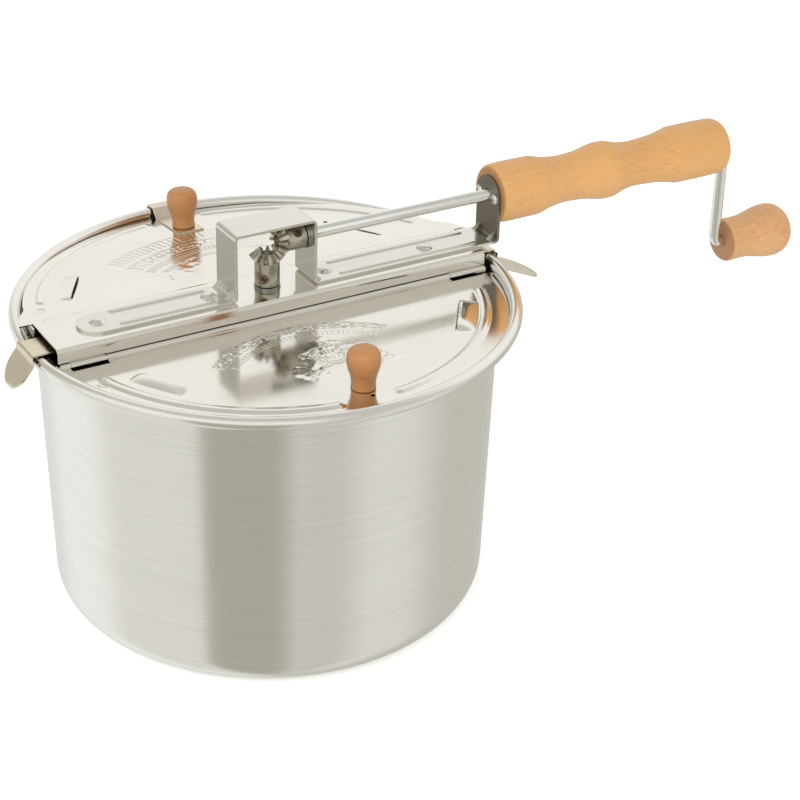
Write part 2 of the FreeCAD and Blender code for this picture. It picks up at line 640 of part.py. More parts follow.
def setscrew(length):
    """Grub screw about Z with its flat outer end at the origin, a six-sided socket in it."""
    body = cylinder(SETSCREW_R, (0, 0, -length), Z_AXIS, length)
    corners = [rotate2((SETSCREW_BORE, 0), 60 * i) for i in range(7)]
    socket = Part.Face(Part.makePolygon([Vector(x, y, -SETSCREW_SOCKET) for x, y in corners]))
    return body.cut(outward(socket.extrude(Vector(0, 0, 2 * SETSCREW_SOCKET))))


def setscrew_way_shaft():
    a = math.radians(SHAFT_SETSCREW_ANGLE)
    return Vector(math.cos(a), math.sin(a), 0)


def setscrew_way_crank():
    a = math.radians(CRANK_SETSCREW_ANGLE)
    return Vector(0, math.cos(a), math.sin(a))


def make_shaft_gear():
    gear = make_bevel_gear(shaft_hub_length(), SHAFT_R, GEAR_PHASE)
    gear.translate(Vector(0, 0, CRANK_Z))
    centre = (0, 0, shaft_gear_low() + HUB_R * SETSCREW_SHARE)
    return gear.cut(cylinder(SETSCREW_R, centre, setscrew_way_shaft(), 2 * HUB_R))


def make_shaft_setscrew():
    way = setscrew_way_shaft()
    face = HUB_R - SETSCREW_SUNK
    start = way * face + Vector(0, 0, shaft_gear_low() + HUB_R * SETSCREW_SHARE)
    return laid(setscrew(face - SHAFT_R), start, way).cut(make_stir_shaft())


def make_crank_gear():
    """The same gear turned to lie along +X, with a gap facing the shaft gear's tooth."""
    gear = make_bevel_gear(crank_hub_length(), ROD_R, 0.0)
    gear.rotate(Vector(0, 0, 0), Y_AXIS, -90)
    gear.rotate(Vector(0, 0, 0), X_AXIS, GEAR_PHASE + 180.0 / TEETH)
    gear.translate(Vector(0, 0, CRANK_Z))
    centre = (crank_hub_length() - HUB_R * SETSCREW_SHARE, 0, CRANK_Z)
    return gear.cut(cylinder(SETSCREW_R, centre, setscrew_way_crank(), 2 * HUB_R))


def make_crank_setscrew():
    way = setscrew_way_crank()
    face = HUB_R - SETSCREW_SUNK
    start = way * face + Vector(crank_hub_length() - HUB_R * SETSCREW_SHARE, 0, CRANK_Z)
    return laid(setscrew(face - ROD_R), start, way).cut(make_crank_rod())


# ---------------------------------------------------------------- crank
def make_crank_rod():
    start = GEAR_R * (1.0 - FACE_SHARE) + GEAR_TO_END
    cap_seat = CRANK_KNOB_X + CRANK_KNOB_LENGTH - CAP_RECESS
    points = [(start, 0, CRANK_Z), (ARM_X, 0, CRANK_Z), (ARM_X, 0, CRANK_KNOB_Z),
              (cap_seat + CAP_RECESS * CAP_GRIP, 0, CRANK_KNOB_Z)]
    return round_bar(points, ROD_BEND, ROD_R)


def make_handle():
    wood = turned(HANDLE_PROFILE, smooth=True)
    wood = laid(wood, (HANDLE_X, 0, CRANK_Z), X_AXIS)
    wood = wood.cut(cylinder(ROD_R + WOOD_RUN, (0, 0, CRANK_Z), X_AXIS, BIG))
    for y in (-HANDLE_SCREW_Y, HANDLE_SCREW_Y):
        wood = wood.cut(cylinder(HANDLE_SCREW_R, (HANDLE_X, y, CRANK_Z), X_AXIS, HANDLE_SCREW_LENGTH))
    return wood


def cross_recess(width, depth):
    """Cross for a screwdriver, sunk below the origin along -Z."""
    arm = width / 4
    one = box((-width / 2, -arm / 2, -depth), (width / 2, arm / 2, depth))
    two = box((-arm / 2, -width / 2, -depth), (arm / 2, width / 2, depth))
    return one.fuse(two)


def pan_screw(head_r, head_h, shank_r, length):
    """Screw about Z: its head stands up from the origin, its shank runs down."""
    head = dome(head_r, head_h * 0.6)
    head.translate(Vector(0, 0, head_h * 0.4))
    collar = cylinder(head_r, (0, 0, 0), Z_AXIS, head_h * 0.4)
    shank = cylinder(shank_r, (0, 0, -length), Z_AXIS, length + head_h * 0.2)
    recess = cross_recess(head_r * 1.2, head_h * 0.5)
    recess.translate(Vector(0, 0, head_h))
    return fused([head, collar, shank]).cut(recess)


def make_handle_screws():
    screws = []
    face = PLATE_X - STRIP_T / 2
    for y in (-HANDLE_SCREW_Y, HANDLE_SCREW_Y):
        screw = pan_screw(HANDLE_SCREW_HEAD_R, HANDLE_SCREW_HEAD_H, HANDLE_SCREW_R, HANDLE_SCREW_LENGTH)
        screws.append(laid(screw, (face, y, CRANK_Z), X_AXIS * -1))
    return Part.makeCompound(screws)


def make_crank_knob():
    wood = turned(CRANK_KNOB_PROFILE, smooth=True)
    wood = laid(wood, (CRANK_KNOB_X, 0, CRANK_KNOB_Z), X_AXIS)
    wood = wood.cut(cylinder(ROD_R + WOOD_RUN, (0, 0, CRANK_KNOB_Z), X_AXIS, BIG))
    seat = CRANK_KNOB_X + CRANK_KNOB_LENGTH - CAP_RECESS
    return wood.cut(cylinder(CAP_R + CAP_CLEARANCE, (seat, 0, CRANK_KNOB_Z), X_AXIS, BIG))


def make_knob_cap():
    """Push-on cap that keeps the crank knob on the rod."""
    seat = CRANK_KNOB_X + CRANK_KNOB_LENGTH - CAP_RECESS
    cap = dome(CAP_R, CAP_RECESS - CAP_CLEARANCE)
    cap = laid(cap, (seat + CAP_CLEARANCE, 0, CRANK_KNOB_Z), X_AXIS)
    return cap.cut(make_crank_rod())


# ---------------------------------------------------------------- lid knobs
def make_knob():
    """Turned wooden knob about +Z, its foot at the origin, with a pilot hole for its screw."""
    wood = turned(KNOB_PROFILE + ((KNOB_H, 0.01),), smooth=True)
    return wood.cut(cylinder(KNOB_SCREW_R, (0, 0, -1), Z_AXIS, KNOB_SCREW_DEPTH + 1))


def knob_screw(grip):
    """Screw from below: its shank runs up from the origin's underside."""
    screw = pan_screw(KNOB_SCREW_HEAD[0], KNOB_SCREW_HEAD[1], KNOB_SCREW_R, KNOB_SCREW_DEPTH + grip)
    screw.rotate(Vector(0, 0, 0), X_AXIS, 180)
    screw.translate(Vector(0, 0, -grip))
    return screw


def knob_washer(grip):
    ring = cylinder(WASHER_R, (0, 0, -grip), Z_AXIS, WASHER_T)
    return ring.cut(cylinder(KNOB_SCREW_R, (0, 0, -grip - 1), Z_AXIS, WASHER_T + 2))


def at_front(shape):
    shape.translate(Vector(0, -KNOB_Y, LID_LOW + LID_T))
    return shape


def at_rear(shape, raised=0.0):
    """On the sloping back half, standing square to it and raised above its top."""
    shape.translate(Vector(0, 0, raised))
    shape.rotate(Vector(0, 0, 0), X_AXIS, -SLOPE_DEG)
    shape.translate(Vector(0, KNOB_Y, roof_height(KNOB_Y)))
    return shape


def rear_knob_hole():
    return at_rear(cylinder(KNOB_SCREW_R, (0, 0, -20), Z_AXIS, 40))


# ---------------------------------------------------------------- stirrer
def wire_level():
    return POT_T + FLOOR_GAP + WIRE_R


def stir_hub_low():
    return wire_level() + WIRE_R


def make_stir_shaft():
    low = POT_T + FLOOR_GAP
    high = CRANK_Z - GEAR_R * (1.0 - FACE_SHARE) - GEAR_TO_END
    return cylinder(SHAFT_R, (0, 0, low), Z_AXIS, high - low)


def arm_socket_level():
    return stir_hub_low() + STIR_HUB_H / 2


def make_stir_hub():
    hub = cylinder(STIR_HUB_R, (0, 0, stir_hub_low()), Z_AXIS, STIR_HUB_H)
    hub = hub.cut(cylinder(SHAFT_R, (0, 0, 0), Z_AXIS, BIG))
    for side in (-1, 1):
        hub = hub.cut(cylinder(WIRE_R, (0, 0, arm_socket_level()), X_AXIS * side, 2 * STIR_HUB_R))
    return hub


def make_stir_arm(side):
    """Wire from the hub down to the floor, out towards the wall and back along it."""
    reach = FOOT_MID_R - POT_T / 2 - FOOT_R - WALL_GAP
    turn_x = math.sqrt(reach ** 2 - WIRE_SWEPT ** 2)
    low = wire_level()
    high = arm_socket_level()
    points = [(SHAFT_R + WIRE_ROOM, 0, high), (STIR_HUB_R + WIRE_RUN[0], 0, high),
              (STIR_HUB_R + WIRE_RUN[1], 0, low), (turn_x - WIRE_SWEPT * WIRE_LEAD, 0, low),
              (turn_x, -WIRE_SWEPT, low), (turn_x + 1, -WIRE_SWEPT - WIRE_TAIL, low + WIRE_RISE)]
    points = [(side * x, side * y, z) for x, y, z in points]
    return round_bar(points, WIRE_BEND, WIRE_R)


# ---------------------------------------------------------------- clips and hook
def clip_outline(side, tab):
    """Middle line of a thumb clip from its bend line out over the bead and into its tab."""
    drop, slope, length = tab
    leaf = RIM_TOP + BEAD_GAP + CLIP_T / 2
    out = RIM_R + BEAD_GAP + CLIP_T / 2
    a = math.radians(slope)
    start = CLIP_PIVOT_X + CLIP_SPLIT
    knee = RIM_TOP - drop
    points = [(start, BAND_LOW - CLIP_T / 2), (start + CLIP_DIP, leaf), (out, leaf), (out, knee),
              (out + length * math.cos(a), knee - length * math.sin(a))]
    return [(side * x, z) for x, z in points]


def make_clip(side, tab):
    """Spring leaf with a thumb tab: a narrow leaf that widens to a round-ended tab."""
    points = clip_outline(side, tab)
    face = bent_sheet_face(points, CLIP_BENDS, CLIP_T)
    wide = sheet_across_y(face, CLIP_Y - TAB_W / 2, CLIP_Y + TAB_W / 2)
    out = RIM_R + BEAD_GAP + CLIP_T / 2
    tip = abs(points[-1][0])
    slope = math.radians(tab[1])
    leaf = box((0, CLIP_Y - CLIP_W / 2, 0), (out + CLIP_T, CLIP_Y + CLIP_W / 2, BIG))
    tab_cut = Part.makeCylinder(TAB_W / 2, BIG, Vector(0, 0, -BIG / 2), Z_AXIS)
    stretch = FreeCAD.Matrix()
    stretch.scale(math.cos(slope), 1.0, 1.0)
    tab_cut = tab_cut.transformGeometry(stretch)
    centre = tip - TAB_W / 2 * math.cos(slope)
    tab_cut.translate(Vector(centre, CLIP_Y, 0))
    keep = leaf.fuse(tab_cut)
    if centre > out:
        keep = keep.fuse(box((out, CLIP_Y - TAB_W / 2, -BIG), (centre, CLIP_Y + TAB_W / 2, RIM_TOP)))
    if side < 0:
        keep = keep.mirror(Vector(0, 0, 0), X_AXIS)
    return wide.common(keep).removeSplitter()


def make_clip_root(side):
    """The part of the clip's leaf that is riveted flat under the lid's band."""
    low = BAND_LOW - CLIP_T
    near = CLIP_PIVOT_X - CLIP_ROOT
    x0, x1 = sorted((side * near, side * CLIP_PIVOT_X))
    root = box((x0, CLIP_Y - CLIP_W / 2, low), (x1, CLIP_Y + CLIP_W / 2, BAND_LOW))
    return root.cut(cylinder(RIVET_R, (side * RIVET_X[1], 0, 0), Z_AXIS, BIG))


def make_rear_hook():
    """Hook at the back: flat under the rear knob, then up and over the bead."""
    half = CLIP_T / 2
    tail = KNOB_Y - HOOK_TAIL
    foot = BEAD_MID_R - BEAD_R - HOOK_FOOT
    leaf = RIM_TOP + BEAD_GAP + half
    out = RIM_R + BEAD_GAP + half
    lift = half / math.cos(math.radians(SLOPE_DEG))
    points = [(tail, roof_height(tail) + lift), (foot, roof_height(foot) + lift),
              (BEAD_MID_R - BEAD_R - HOOK_RISE, leaf), (out - HOOK_CORNER, leaf), (out, leaf - HOOK_CORNER),
              (out, RIM_TOP - HOOK_DROP)]
    section = bent_sheet_face(points, [HOOK_BEND] * 4, CLIP_T)
    hook = sheet_across_x(section, -HOOK_W / 2, HOOK_W / 2)
    return hook.cut(rear_knob_hole())


# ---------------------------------------------------------------- all the pieces
def all_pieces():
    grip = LID_T + WASHER_T
    hooked = CLIP_T + grip
    return {
        "pot": make_pot(),
        "lid_rear": make_lid_rear(),
        "lid_front": make_lid_front(),
        "hinge_pin": make_hinge_pin(),
        "gear_bracket": make_bracket(),
        "inner_rivets": make_rivets(RIVET_X[0], BAND_LOW),
        "end_rivets": make_rivets(RIVET_X[1], BAND_LOW - CLIP_T),
        "shaft_bush": make_shaft_bush(),
        "bush_ring": make_bush_ring(),
        "leg_bush": make_leg_bush(),
        "shaft_gear": make_shaft_gear(),
        "shaft_gear_setscrew": make_shaft_setscrew(),
        "stir_shaft": make_stir_shaft(),
        "stir_hub": make_stir_hub(),
        "stir_arm_left": make_stir_arm(-1),
        "stir_arm_right": make_stir_arm(1),
        "crank_gear": make_crank_gear(),
        "crank_gear_setscrew": make_crank_setscrew(),
        "crank_rod": make_crank_rod(),
        "main_handle": make_handle(),
        "handle_screws": make_handle_screws(),
        "crank_knob": make_crank_knob(),
        "crank_knob_cap": make_knob_cap(),
        "front_knob": at_front(make_knob()),
        "front_knob_screw": at_front(knob_screw(grip)),
        "front_knob_washer": at_front(knob_washer(grip)),
        "rear_knob": at_rear(make_knob(), CLIP_T),
        "rear_knob_screw": at_rear(knob_screw(hooked), CLIP_T),
        "rear_knob_washer": at_rear(knob_washer(hooked), CLIP_T),
        "rear_hook": make_rear_hook(),
        "left_clip": make_clip(-1, LEFT_TAB),
        "right_clip": make_clip(1, RIGHT_TAB),
        "left_clip_root": make_clip_root(-1),
        "right_clip_root": make_clip_root(1),
    }


os.makedirs("parts", exist_ok=True)
for name, shape in all_pieces().items():
    solids = shape.Solids
    state = "valid" if shape.isValid() else "NOT VALID"
    print(f"{name}: {len(solids)} solid(s), {shape.Volume / 1000:.2f} cm3, {state}")
    shape.exportStep(f"parts/{name}.step")
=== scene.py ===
import json
import math

import bmesh
import bpy
import numpy as np
from mathutils import Matrix, Vector

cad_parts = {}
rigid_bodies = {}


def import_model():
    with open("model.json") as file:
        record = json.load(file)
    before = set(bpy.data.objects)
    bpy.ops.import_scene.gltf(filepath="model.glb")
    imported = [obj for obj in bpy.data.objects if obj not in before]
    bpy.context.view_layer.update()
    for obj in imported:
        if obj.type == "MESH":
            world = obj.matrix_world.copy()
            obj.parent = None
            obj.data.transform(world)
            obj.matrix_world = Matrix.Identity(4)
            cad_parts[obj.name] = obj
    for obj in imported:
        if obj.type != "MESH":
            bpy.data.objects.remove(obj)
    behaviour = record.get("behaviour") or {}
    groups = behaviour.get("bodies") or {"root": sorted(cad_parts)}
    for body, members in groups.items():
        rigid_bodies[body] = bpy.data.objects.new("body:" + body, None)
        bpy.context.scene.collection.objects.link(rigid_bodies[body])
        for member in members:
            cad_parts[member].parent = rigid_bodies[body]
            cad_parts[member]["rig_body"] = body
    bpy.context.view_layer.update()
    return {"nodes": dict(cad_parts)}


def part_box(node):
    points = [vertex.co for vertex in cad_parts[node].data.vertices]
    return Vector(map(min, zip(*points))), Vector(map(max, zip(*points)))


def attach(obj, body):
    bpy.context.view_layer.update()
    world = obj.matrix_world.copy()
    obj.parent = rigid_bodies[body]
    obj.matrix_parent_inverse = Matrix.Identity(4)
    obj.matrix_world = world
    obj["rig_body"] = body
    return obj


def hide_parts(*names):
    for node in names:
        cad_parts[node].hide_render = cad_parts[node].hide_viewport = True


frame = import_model()

# Stovetop popcorn popper. Lengths below are millimetres and become metres when a mesh is made.
MM = 0.001


def box_mm(node):
    """Lowest and highest corner of a CAD node, in millimetres."""
    low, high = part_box(node)
    return np.array(low) / MM, np.array(high) / MM


# -------- sizes read from the frame
POT_HIGH = box_mm("pot")[1]
RIM_R = POT_HIGH[0]
RIM_TOP = POT_HIGH[2]
FRONT_LOW = box_mm("lid_front")[0]
REAR_HIGH = box_mm("lid_rear")[1]
LID_R = -FRONT_LOW[1]
LID_LOW = FRONT_LOW[2]
BAND_TOP = REAR_HIGH[2]
EAR_R = REAR_HIGH[0]
PIN_LOW, PIN_HIGH = box_mm("hinge_pin")
HINGE_Y = (PIN_LOW[1] + PIN_HIGH[1]) / 2
HINGE_Z = (PIN_LOW[2] + PIN_HIGH[2]) / 2
HANDLE_LOW, HANDLE_HIGH = box_mm("main_handle")
GRIP_LOW, GRIP_HIGH = box_mm("crank_knob")
ROD_LOW, ROD_HIGH = box_mm("crank_rod")
CRANK_Z = (HANDLE_LOW[2] + HANDLE_HIGH[2]) / 2
GRIP_Z = (GRIP_LOW[2] + GRIP_HIGH[2]) / 2
ROD_R = ROD_HIGH[1]

# -------- sizes of the sheet metal
POT_T = 1.2              # pot sheet
BEAD_R = 3.2             # rolled rim
RIM_STEP = 11.9          # from the rim in to the wall
WALL_DRAFT = 4.0
FOOT_R = 15.6
SEAT_DEPTH = 6.5
SEAT_BEND = 3.4
RIM_BEND = 1.3
CURL_SWEEP = 290.0
LID_T = 0.8
KNUCKLE_R = 1.7
FLANGE_Y = -15.3         # middle of the band's front flange
FLANGE_END_X = 117.6
BAND_BACK_Y = 15.0       # the back half slopes down from here
BACK_Z = 156.0
NOTCH_DEPTH = 4.0
BEND_R = 1.4
SKIRT_START_Y = 10.0
BACK_KNUCKLES = ((-111.7, -93.5), (96.2, 117.2))
END_CURL_X = (-117.0, -112.0)
KNUCKLE_GAP = 0.3


# ======== mesh making
def added(name, data):
    """New object of some data, put in the scene."""
    made = bpy.data.objects.new(name, data)
    bpy.context.scene.collection.objects.link(made)
    return made


def polar(radius, degrees):
    return radius * math.cos(math.radians(degrees)), radius * math.sin(math.radians(degrees))


def mesh_piece(name, points, faces, material, sharp=50.0):
    """Object from points in millimetres and lists of face arrays, smooth except at sharp edges
    and with its faces turned outwards."""
    mesh = bpy.data.meshes.new(name)
    listed = [face for block in faces for face in np.asarray(block).tolist()]
    mesh.from_pydata((np.asarray(points) * MM).tolist(), [], listed)
    mesh.validate()
    mesh.shade_smooth()
    mesh.set_sharp_from_angle(angle=math.radians(sharp))
    mesh.materials.append(material)
    form = bmesh.new()
    form.from_mesh(mesh)
    bmesh.ops.recalc_face_normals(form, faces=form.faces)
    form.to_mesh(mesh)
    form.free()
    return added(name, mesh)


def stand_for(piece, *nodes):
    """The piece rides with its CAD nodes' body, and the nodes are hidden in its place."""
    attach(piece, frame["nodes"][nodes[0]]["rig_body"])
    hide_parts(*nodes)


def used_only(points, faces):
    """Drops the points that no face uses, and renumbers the faces."""
    flat = np.concatenate([f.ravel() for f in faces])
    used, back = np.unique(flat, return_inverse=True)
    out = []
    start = 0
    for f in faces:
        out.append(back[start:start + f.size].reshape(f.shape))
        start += f.size
    return points[used], out


def sheet_faces(middle, keep, thickness):
    """Closed sheet from a grid of middle points: each side is the grid moved half the thickness
    along its normal, and a wall closes every border between kept and dropped cells."""
    across = np.gradient(middle, axis=1)
    along = np.gradient(middle, axis=0)
    normal = np.cross(across, along)
    length = np.linalg.norm(normal, axis=2, keepdims=True)
    normal = normal / np.maximum(length, 1e-9)
    rows, cols = middle.shape[:2]
    count = rows * cols
    points = np.concatenate([(middle + normal * thickness / 2).reshape(-1, 3),
                             (middle - normal * thickness / 2).reshape(-1, 3)])
    i = np.arange(count).reshape(rows, cols)
    a, b, c, d = i[:-1, :-1][keep], i[:-1, 1:][keep], i[1:, 1:][keep], i[1:, :-1][keep]
    top = np.stack([a, b, c, d], axis=1)
    low = np.stack([a, d, c, b], axis=1) + count
    ring = np.pad(keep, 1)
    walls = []
    for before, after, p, q in ((ring[:-1, 1:-1], ring[1:, 1:-1], i[:, 1:], i[:, :-1]),
                                (ring[1:-1, :-1], ring[1:-1, 1:], i[:-1, :], i[1:, :])):
        for mask, near, far in ((after & ~before, p, q), (before & ~after, q, p)):
            near, far = near[mask], far[mask]
            walls.append(np.stack([near, far, far + count, near + count], axis=1))
    return used_only(points, [top, low] + walls)


def joined(blocks):
    """One point array and one face list from several (points, faces) blocks."""
    points, faces, start = [], [], 0
    for p, fs in blocks:
        points.append(p)
        faces.extend([f + start for f in fs])
        start += len(p)
    return np.concatenate(points), faces


def ring_quads(i):
    """Faces between rows of point numbers, each row a closed ring."""
    after = np.roll(i, -1, axis=1)
    return np.stack([i[:-1], after[:-1], after[1:], i[1:]], axis=2).reshape(-1, 4)


def revolved(outline, segments, closed=False):
    """Surface of revolution about Z. outline is (radius, height) rows; point j at turn k is
    (r cos 2 pi k/n, r sin 2 pi k/n, z). Open outlines run from pole to pole, base first."""
    outline = np.asarray(outline, float)
    turn = np.arange(segments) * 2 * math.pi / segments
    ends = [] if closed else [outline[0, 1], outline[-1, 1]]
    rings = outline if closed else outline[1:-1]
    grid = np.stack([rings[:, :1] * np.cos(turn), rings[:, :1] * np.sin(turn),
                     np.repeat(rings[:, 1:], segments, axis=1)], axis=2)
    rows = len(rings)
    i = np.arange(rows * segments).reshape(rows, segments)
    if closed:
        i = np.vstack([i, i[:1]])
    faces = [ring_quads(i)]
    points = grid.reshape(-1, 3)
    if ends:
        poles = np.array([[0, 0, ends[0]], [0, 0, ends[1]]])
        base, head = len(points), len(points) + 1
        first, last = i[0], i[-1]
        faces.append(np.stack([np.roll(first, -1), first, np.full(segments, base)], axis=1))
        faces.append(np.stack([last, np.roll(last, -1), np.full(segments, head)], axis=1))
        points = np.concatenate([points, poles])
    return points, faces


def rounded_line(corners, bends, curl=None, step=8.0):
    """Points along straight runs joined by arcs, and an optional last (radius, sweep) curl.
    Each arc of radius r starts r tan(turn/2) before its corner, with a point every few degrees."""
    corners = [np.array(c, float) for c in corners]
    points = [corners[0]]
    for before, corner, after, radius in zip(corners, corners[1:], corners[2:], bends):
        way_in = (corner - before) / np.linalg.norm(corner - before)
        way_out = (after - corner) / np.linalg.norm(after - corner)
        turn = math.atan2(way_in[0] * way_out[1] - way_in[1] * way_out[0], way_in @ way_out)
        start = corner - way_in * radius * math.tan(abs(turn) / 2)
        points.extend(arc_from(start, way_in, radius, math.degrees(turn), step))
    points.append(corners[-1])
    if curl:
        way = corners[-1] - points[-2]
        points.extend(arc_from(corners[-1], way / np.linalg.norm(way), curl[0], curl[1], step)[1:])
    return np.array(points)


def arc_from(start, way, radius, sweep, step):
    """Arc leaving start along way and turning by sweep degrees, to the left where positive."""
    side = math.copysign(1.0, sweep)
    centre = start + side * radius * np.array([-way[1], way[0]])
    spoke = start - centre
    turns = np.radians(np.linspace(0, sweep, max(2, int(abs(sweep) / step) + 1)))
    c, s = np.cos(turns), np.sin(turns)
    return list(centre + np.stack([spoke[0] * c - spoke[1] * s, spoke[0] * s + spoke[1] * c], axis=1))


def thickened(line, thickness):
    """Closed outline round a middle line: the line moved half the thickness to each side."""
    way = np.gradient(line, axis=0)
    way /= np.linalg.norm(way, axis=1, keepdims=True)
    side = np.stack([way[:, 1], -way[:, 0]], axis=1) * thickness / 2
    return np.concatenate([line + side, (line - side)[::-1]])


def swept_round(path, radius, sides=40, chamfer=0.5):
    """Round bar along a path in the XZ plane. A ring stands on Y and on the path's own normal,
    and the ends are drawn in by a small chamfer."""
    way = np.gradient(path, axis=0)
    way /= np.linalg.norm(way, axis=1, keepdims=True)
    normal = np.stack([-way[:, 2], np.zeros(len(way)), way[:, 0]], axis=1)
    path = np.concatenate([path[:1], path[:1] + way[:1] * chamfer, path[1:-1],
                           path[-1:] - way[-1:] * chamfer, path[-1:]])
    normal = np.concatenate([normal[:1], normal, normal[-1:]])
    radii = np.full(len(path), radius)
    radii[[0, -1]] = radius - chamfer
    turn = np.arange(sides) * 2 * math.pi / sides
    ring = (normal[:, None, :] * np.cos(turn)[None, :, None]
            + np.array([0.0, 1.0, 0.0]) * np.sin(turn)[None, :, None])
    points = (path[:, None, :] + ring * radii[:, None, None]).reshape(-1, 3)
    i = np.arange(len(points)).reshape(len(path), sides)
    faces = [ring_quads(i)[:, [0, 3, 2, 1]]]
    poles = np.stack([path[0], path[-1]])
    base = len(points)
    faces.append(np.stack([i[0], np.roll(i[0], -1), np.full(sides, base)], axis=1))
    faces.append(np.stack([np.roll(i[-1], -1), i[-1], np.full(sides, base + 1)], axis=1))
    return np.concatenate([points, poles]), faces


def finished_copy(node_name, material, edge):
    """Copy of a stamped, cast or turned CAD piece with its loose faces joined, flat faces
    cleaned and every sharp edge broken by a small round, so that edges catch the light."""
    mesh = frame["nodes"][node_name].data.copy()
    mesh.name = node_name + "_finished"
    form = bmesh.new()
    form.from_mesh(mesh)
    bmesh.ops.remove_doubles(form, verts=form.verts, dist=2e-6)
    bmesh.ops.dissolve_limit(form, angle_limit=math.radians(0.6), verts=form.verts, edges=form.edges)
    form.to_mesh(mesh)
    form.free()
    mesh.materials.clear()
    mesh.materials.append(material)
    mesh.shade_smooth()
    mesh.set_sharp_from_angle(angle=math.radians(32))
    piece = added(mesh.name, mesh)
    rounding = piece.modifiers.new("edge_break", "BEVEL")
    rounding.width = edge * MM
    rounding.segments = 2
    rounding.limit_method = "ANGLE"
    rounding.angle_limit = math.radians(40)
    rounding.harden_normals = True
    rounding.use_clamp_overlap = True
    stand_for(piece, node_name)


# ======== shader groups
def new_group(name, inputs, outputs):
    """Empty shader group with named sockets; inputs and outputs are (kind, name, default)."""
    tree = bpy.data.node_groups.new(name, "ShaderNodeTree")
    for way, sockets in (("INPUT", inputs), ("OUTPUT", outputs)):
        for kind, label, default in sockets:
            socket = tree.interface.new_socket(name=label, in_out=way, socket_type="NodeSocket" + kind)
            if default is not None:
                socket.default_value = default
    return tree, tree.nodes.new("NodeGroupInput").outputs, tree.nodes.new("NodeGroupOutput")


def fill(tree, made, values):
    """Fills a node's input sockets by name or number: links are linked, colours get their alpha."""
    for key, value in values.items():
        socket = made.inputs[key]
        if isinstance(value, bpy.types.NodeSocket):
            tree.links.new(value, socket)
        else:
            socket.default_value = (*value, 1.0) if socket.type == "RGBA" else value
    return made


def node(tree, kind, values, **settings):
    """Node of a kind, with its settings and its filled sockets."""
    made = tree.nodes.new("ShaderNode" + kind)
    for key, value in settings.items():
        setattr(made, key, value)
    return fill(tree, made, values)


def math_node(tree, operation, a, b=0.0, c=0.0):
    return node(tree, "Math", {0: a, 1: b, 2: c}, operation=operation).outputs[0]


def times(tree, a, b):
    return math_node(tree, "MULTIPLY", a, b)


def ranged(tree, value, low, high, to_low=0.0, to_high=1.0):
    made = node(tree, "MapRange", {"Value": value, "From Min": low, "From Max": high,
                                   "To Min": to_low, "To Max": to_high})
    return made.outputs[0]


def noise(tree, vector, scale, detail=2.0, rough=0.5):
    made = node(tree, "TexNoise", {"Vector": vector, "Scale": scale, "Detail": detail,
                                   "Roughness": rough})
    return made.outputs["Fac"]


def vector_node(tree, operation, a, b):
    return node(tree, "VectorMath", {0: a, 1: b}, operation=operation).outputs[0]


def stretched(tree, vector, by):
    return vector_node(tree, "MULTIPLY", vector, by)


def mixed(tree, fac, a, b):
    """Colour that moves from a to b as fac goes from 0 to 1."""
    return node(tree, "Mix", {0: fac, 6: a, 7: b}, data_type="RGBA").outputs[2]


def mixed_value(tree, fac, a, b):
    """Value that moves from a to b as fac goes from 0 to 1."""
    return node(tree, "Mix", {0: fac, 2: a, 3: b}, data_type="FLOAT").outputs[0]


def make_brushed():
    """Fine lines from a grinding belt or rolling mill: noise squeezed across the lines by
    Stretch, with broader streaks by Streaks. Lines run where Stretch is small."""
    tree, given, out = new_group("brushed_lines", [("Vector", "Vector", None),
                                                   ("Vector", "Stretch", (1.0, 1.0, 1.0)),
                                                   ("Float", "Streaks", 0.2)],
                                 [("Float", "Lines", 0.0)])
    place = stretched(tree, given["Vector"], given["Stretch"])
    fine = ranged(tree, noise(tree, place, 1.0, 3.0, 0.6), 0.25, 0.75)
    wide = ranged(tree, noise(tree, place, 0.13, 2.0, 0.5), 0.3, 0.7)
    fill(tree, out, {"Lines": mixed_value(tree, given["Streaks"], fine, wide)})
    return tree


def make_handling():
    """Faint marks of use: large soft smudges and sparse short scratches."""
    tree, given, out = new_group("handling_marks", [("Vector", "Vector", None),
                                                    ("Float", "Size", 30.0)],
                                 [("Float", "Smudge", 0.0), ("Float", "Scratch", 0.0)])
    cloud = noise(tree, given["Vector"], given["Size"], 4.0, 0.55)
    hair = noise(tree, stretched(tree, given["Vector"], (9.0, 260.0, 40.0)), 1.0, 1.0, 0.3)
    fill(tree, out, {"Smudge": ranged(tree, cloud, 0.42, 0.72), "Scratch": ranged(tree, hair, 0.70, 0.76)})
    return tree


def make_cast_grain():
    """Grain of a small casting: fine pits over soft lumps."""
    tree, given, out = new_group("cast_grain", [("Vector", "Vector", None), ("Float", "Scale", 900.0)],
                                 [("Float", "Height", 0.0), ("Float", "Stain", 0.0)])
    vector, scale = given["Vector"], given["Scale"]
    pits = noise(tree, vector, scale, 4.0, 0.7)
    lumps = noise(tree, vector, times(tree, scale, 0.25), 2.0, 0.5)
    fill(tree, out, {"Height": math_node(tree, "MULTIPLY_ADD", pits, 0.6, lumps),
                     "Stain": ranged(tree, lumps, 0.4, 0.68)})
    return tree


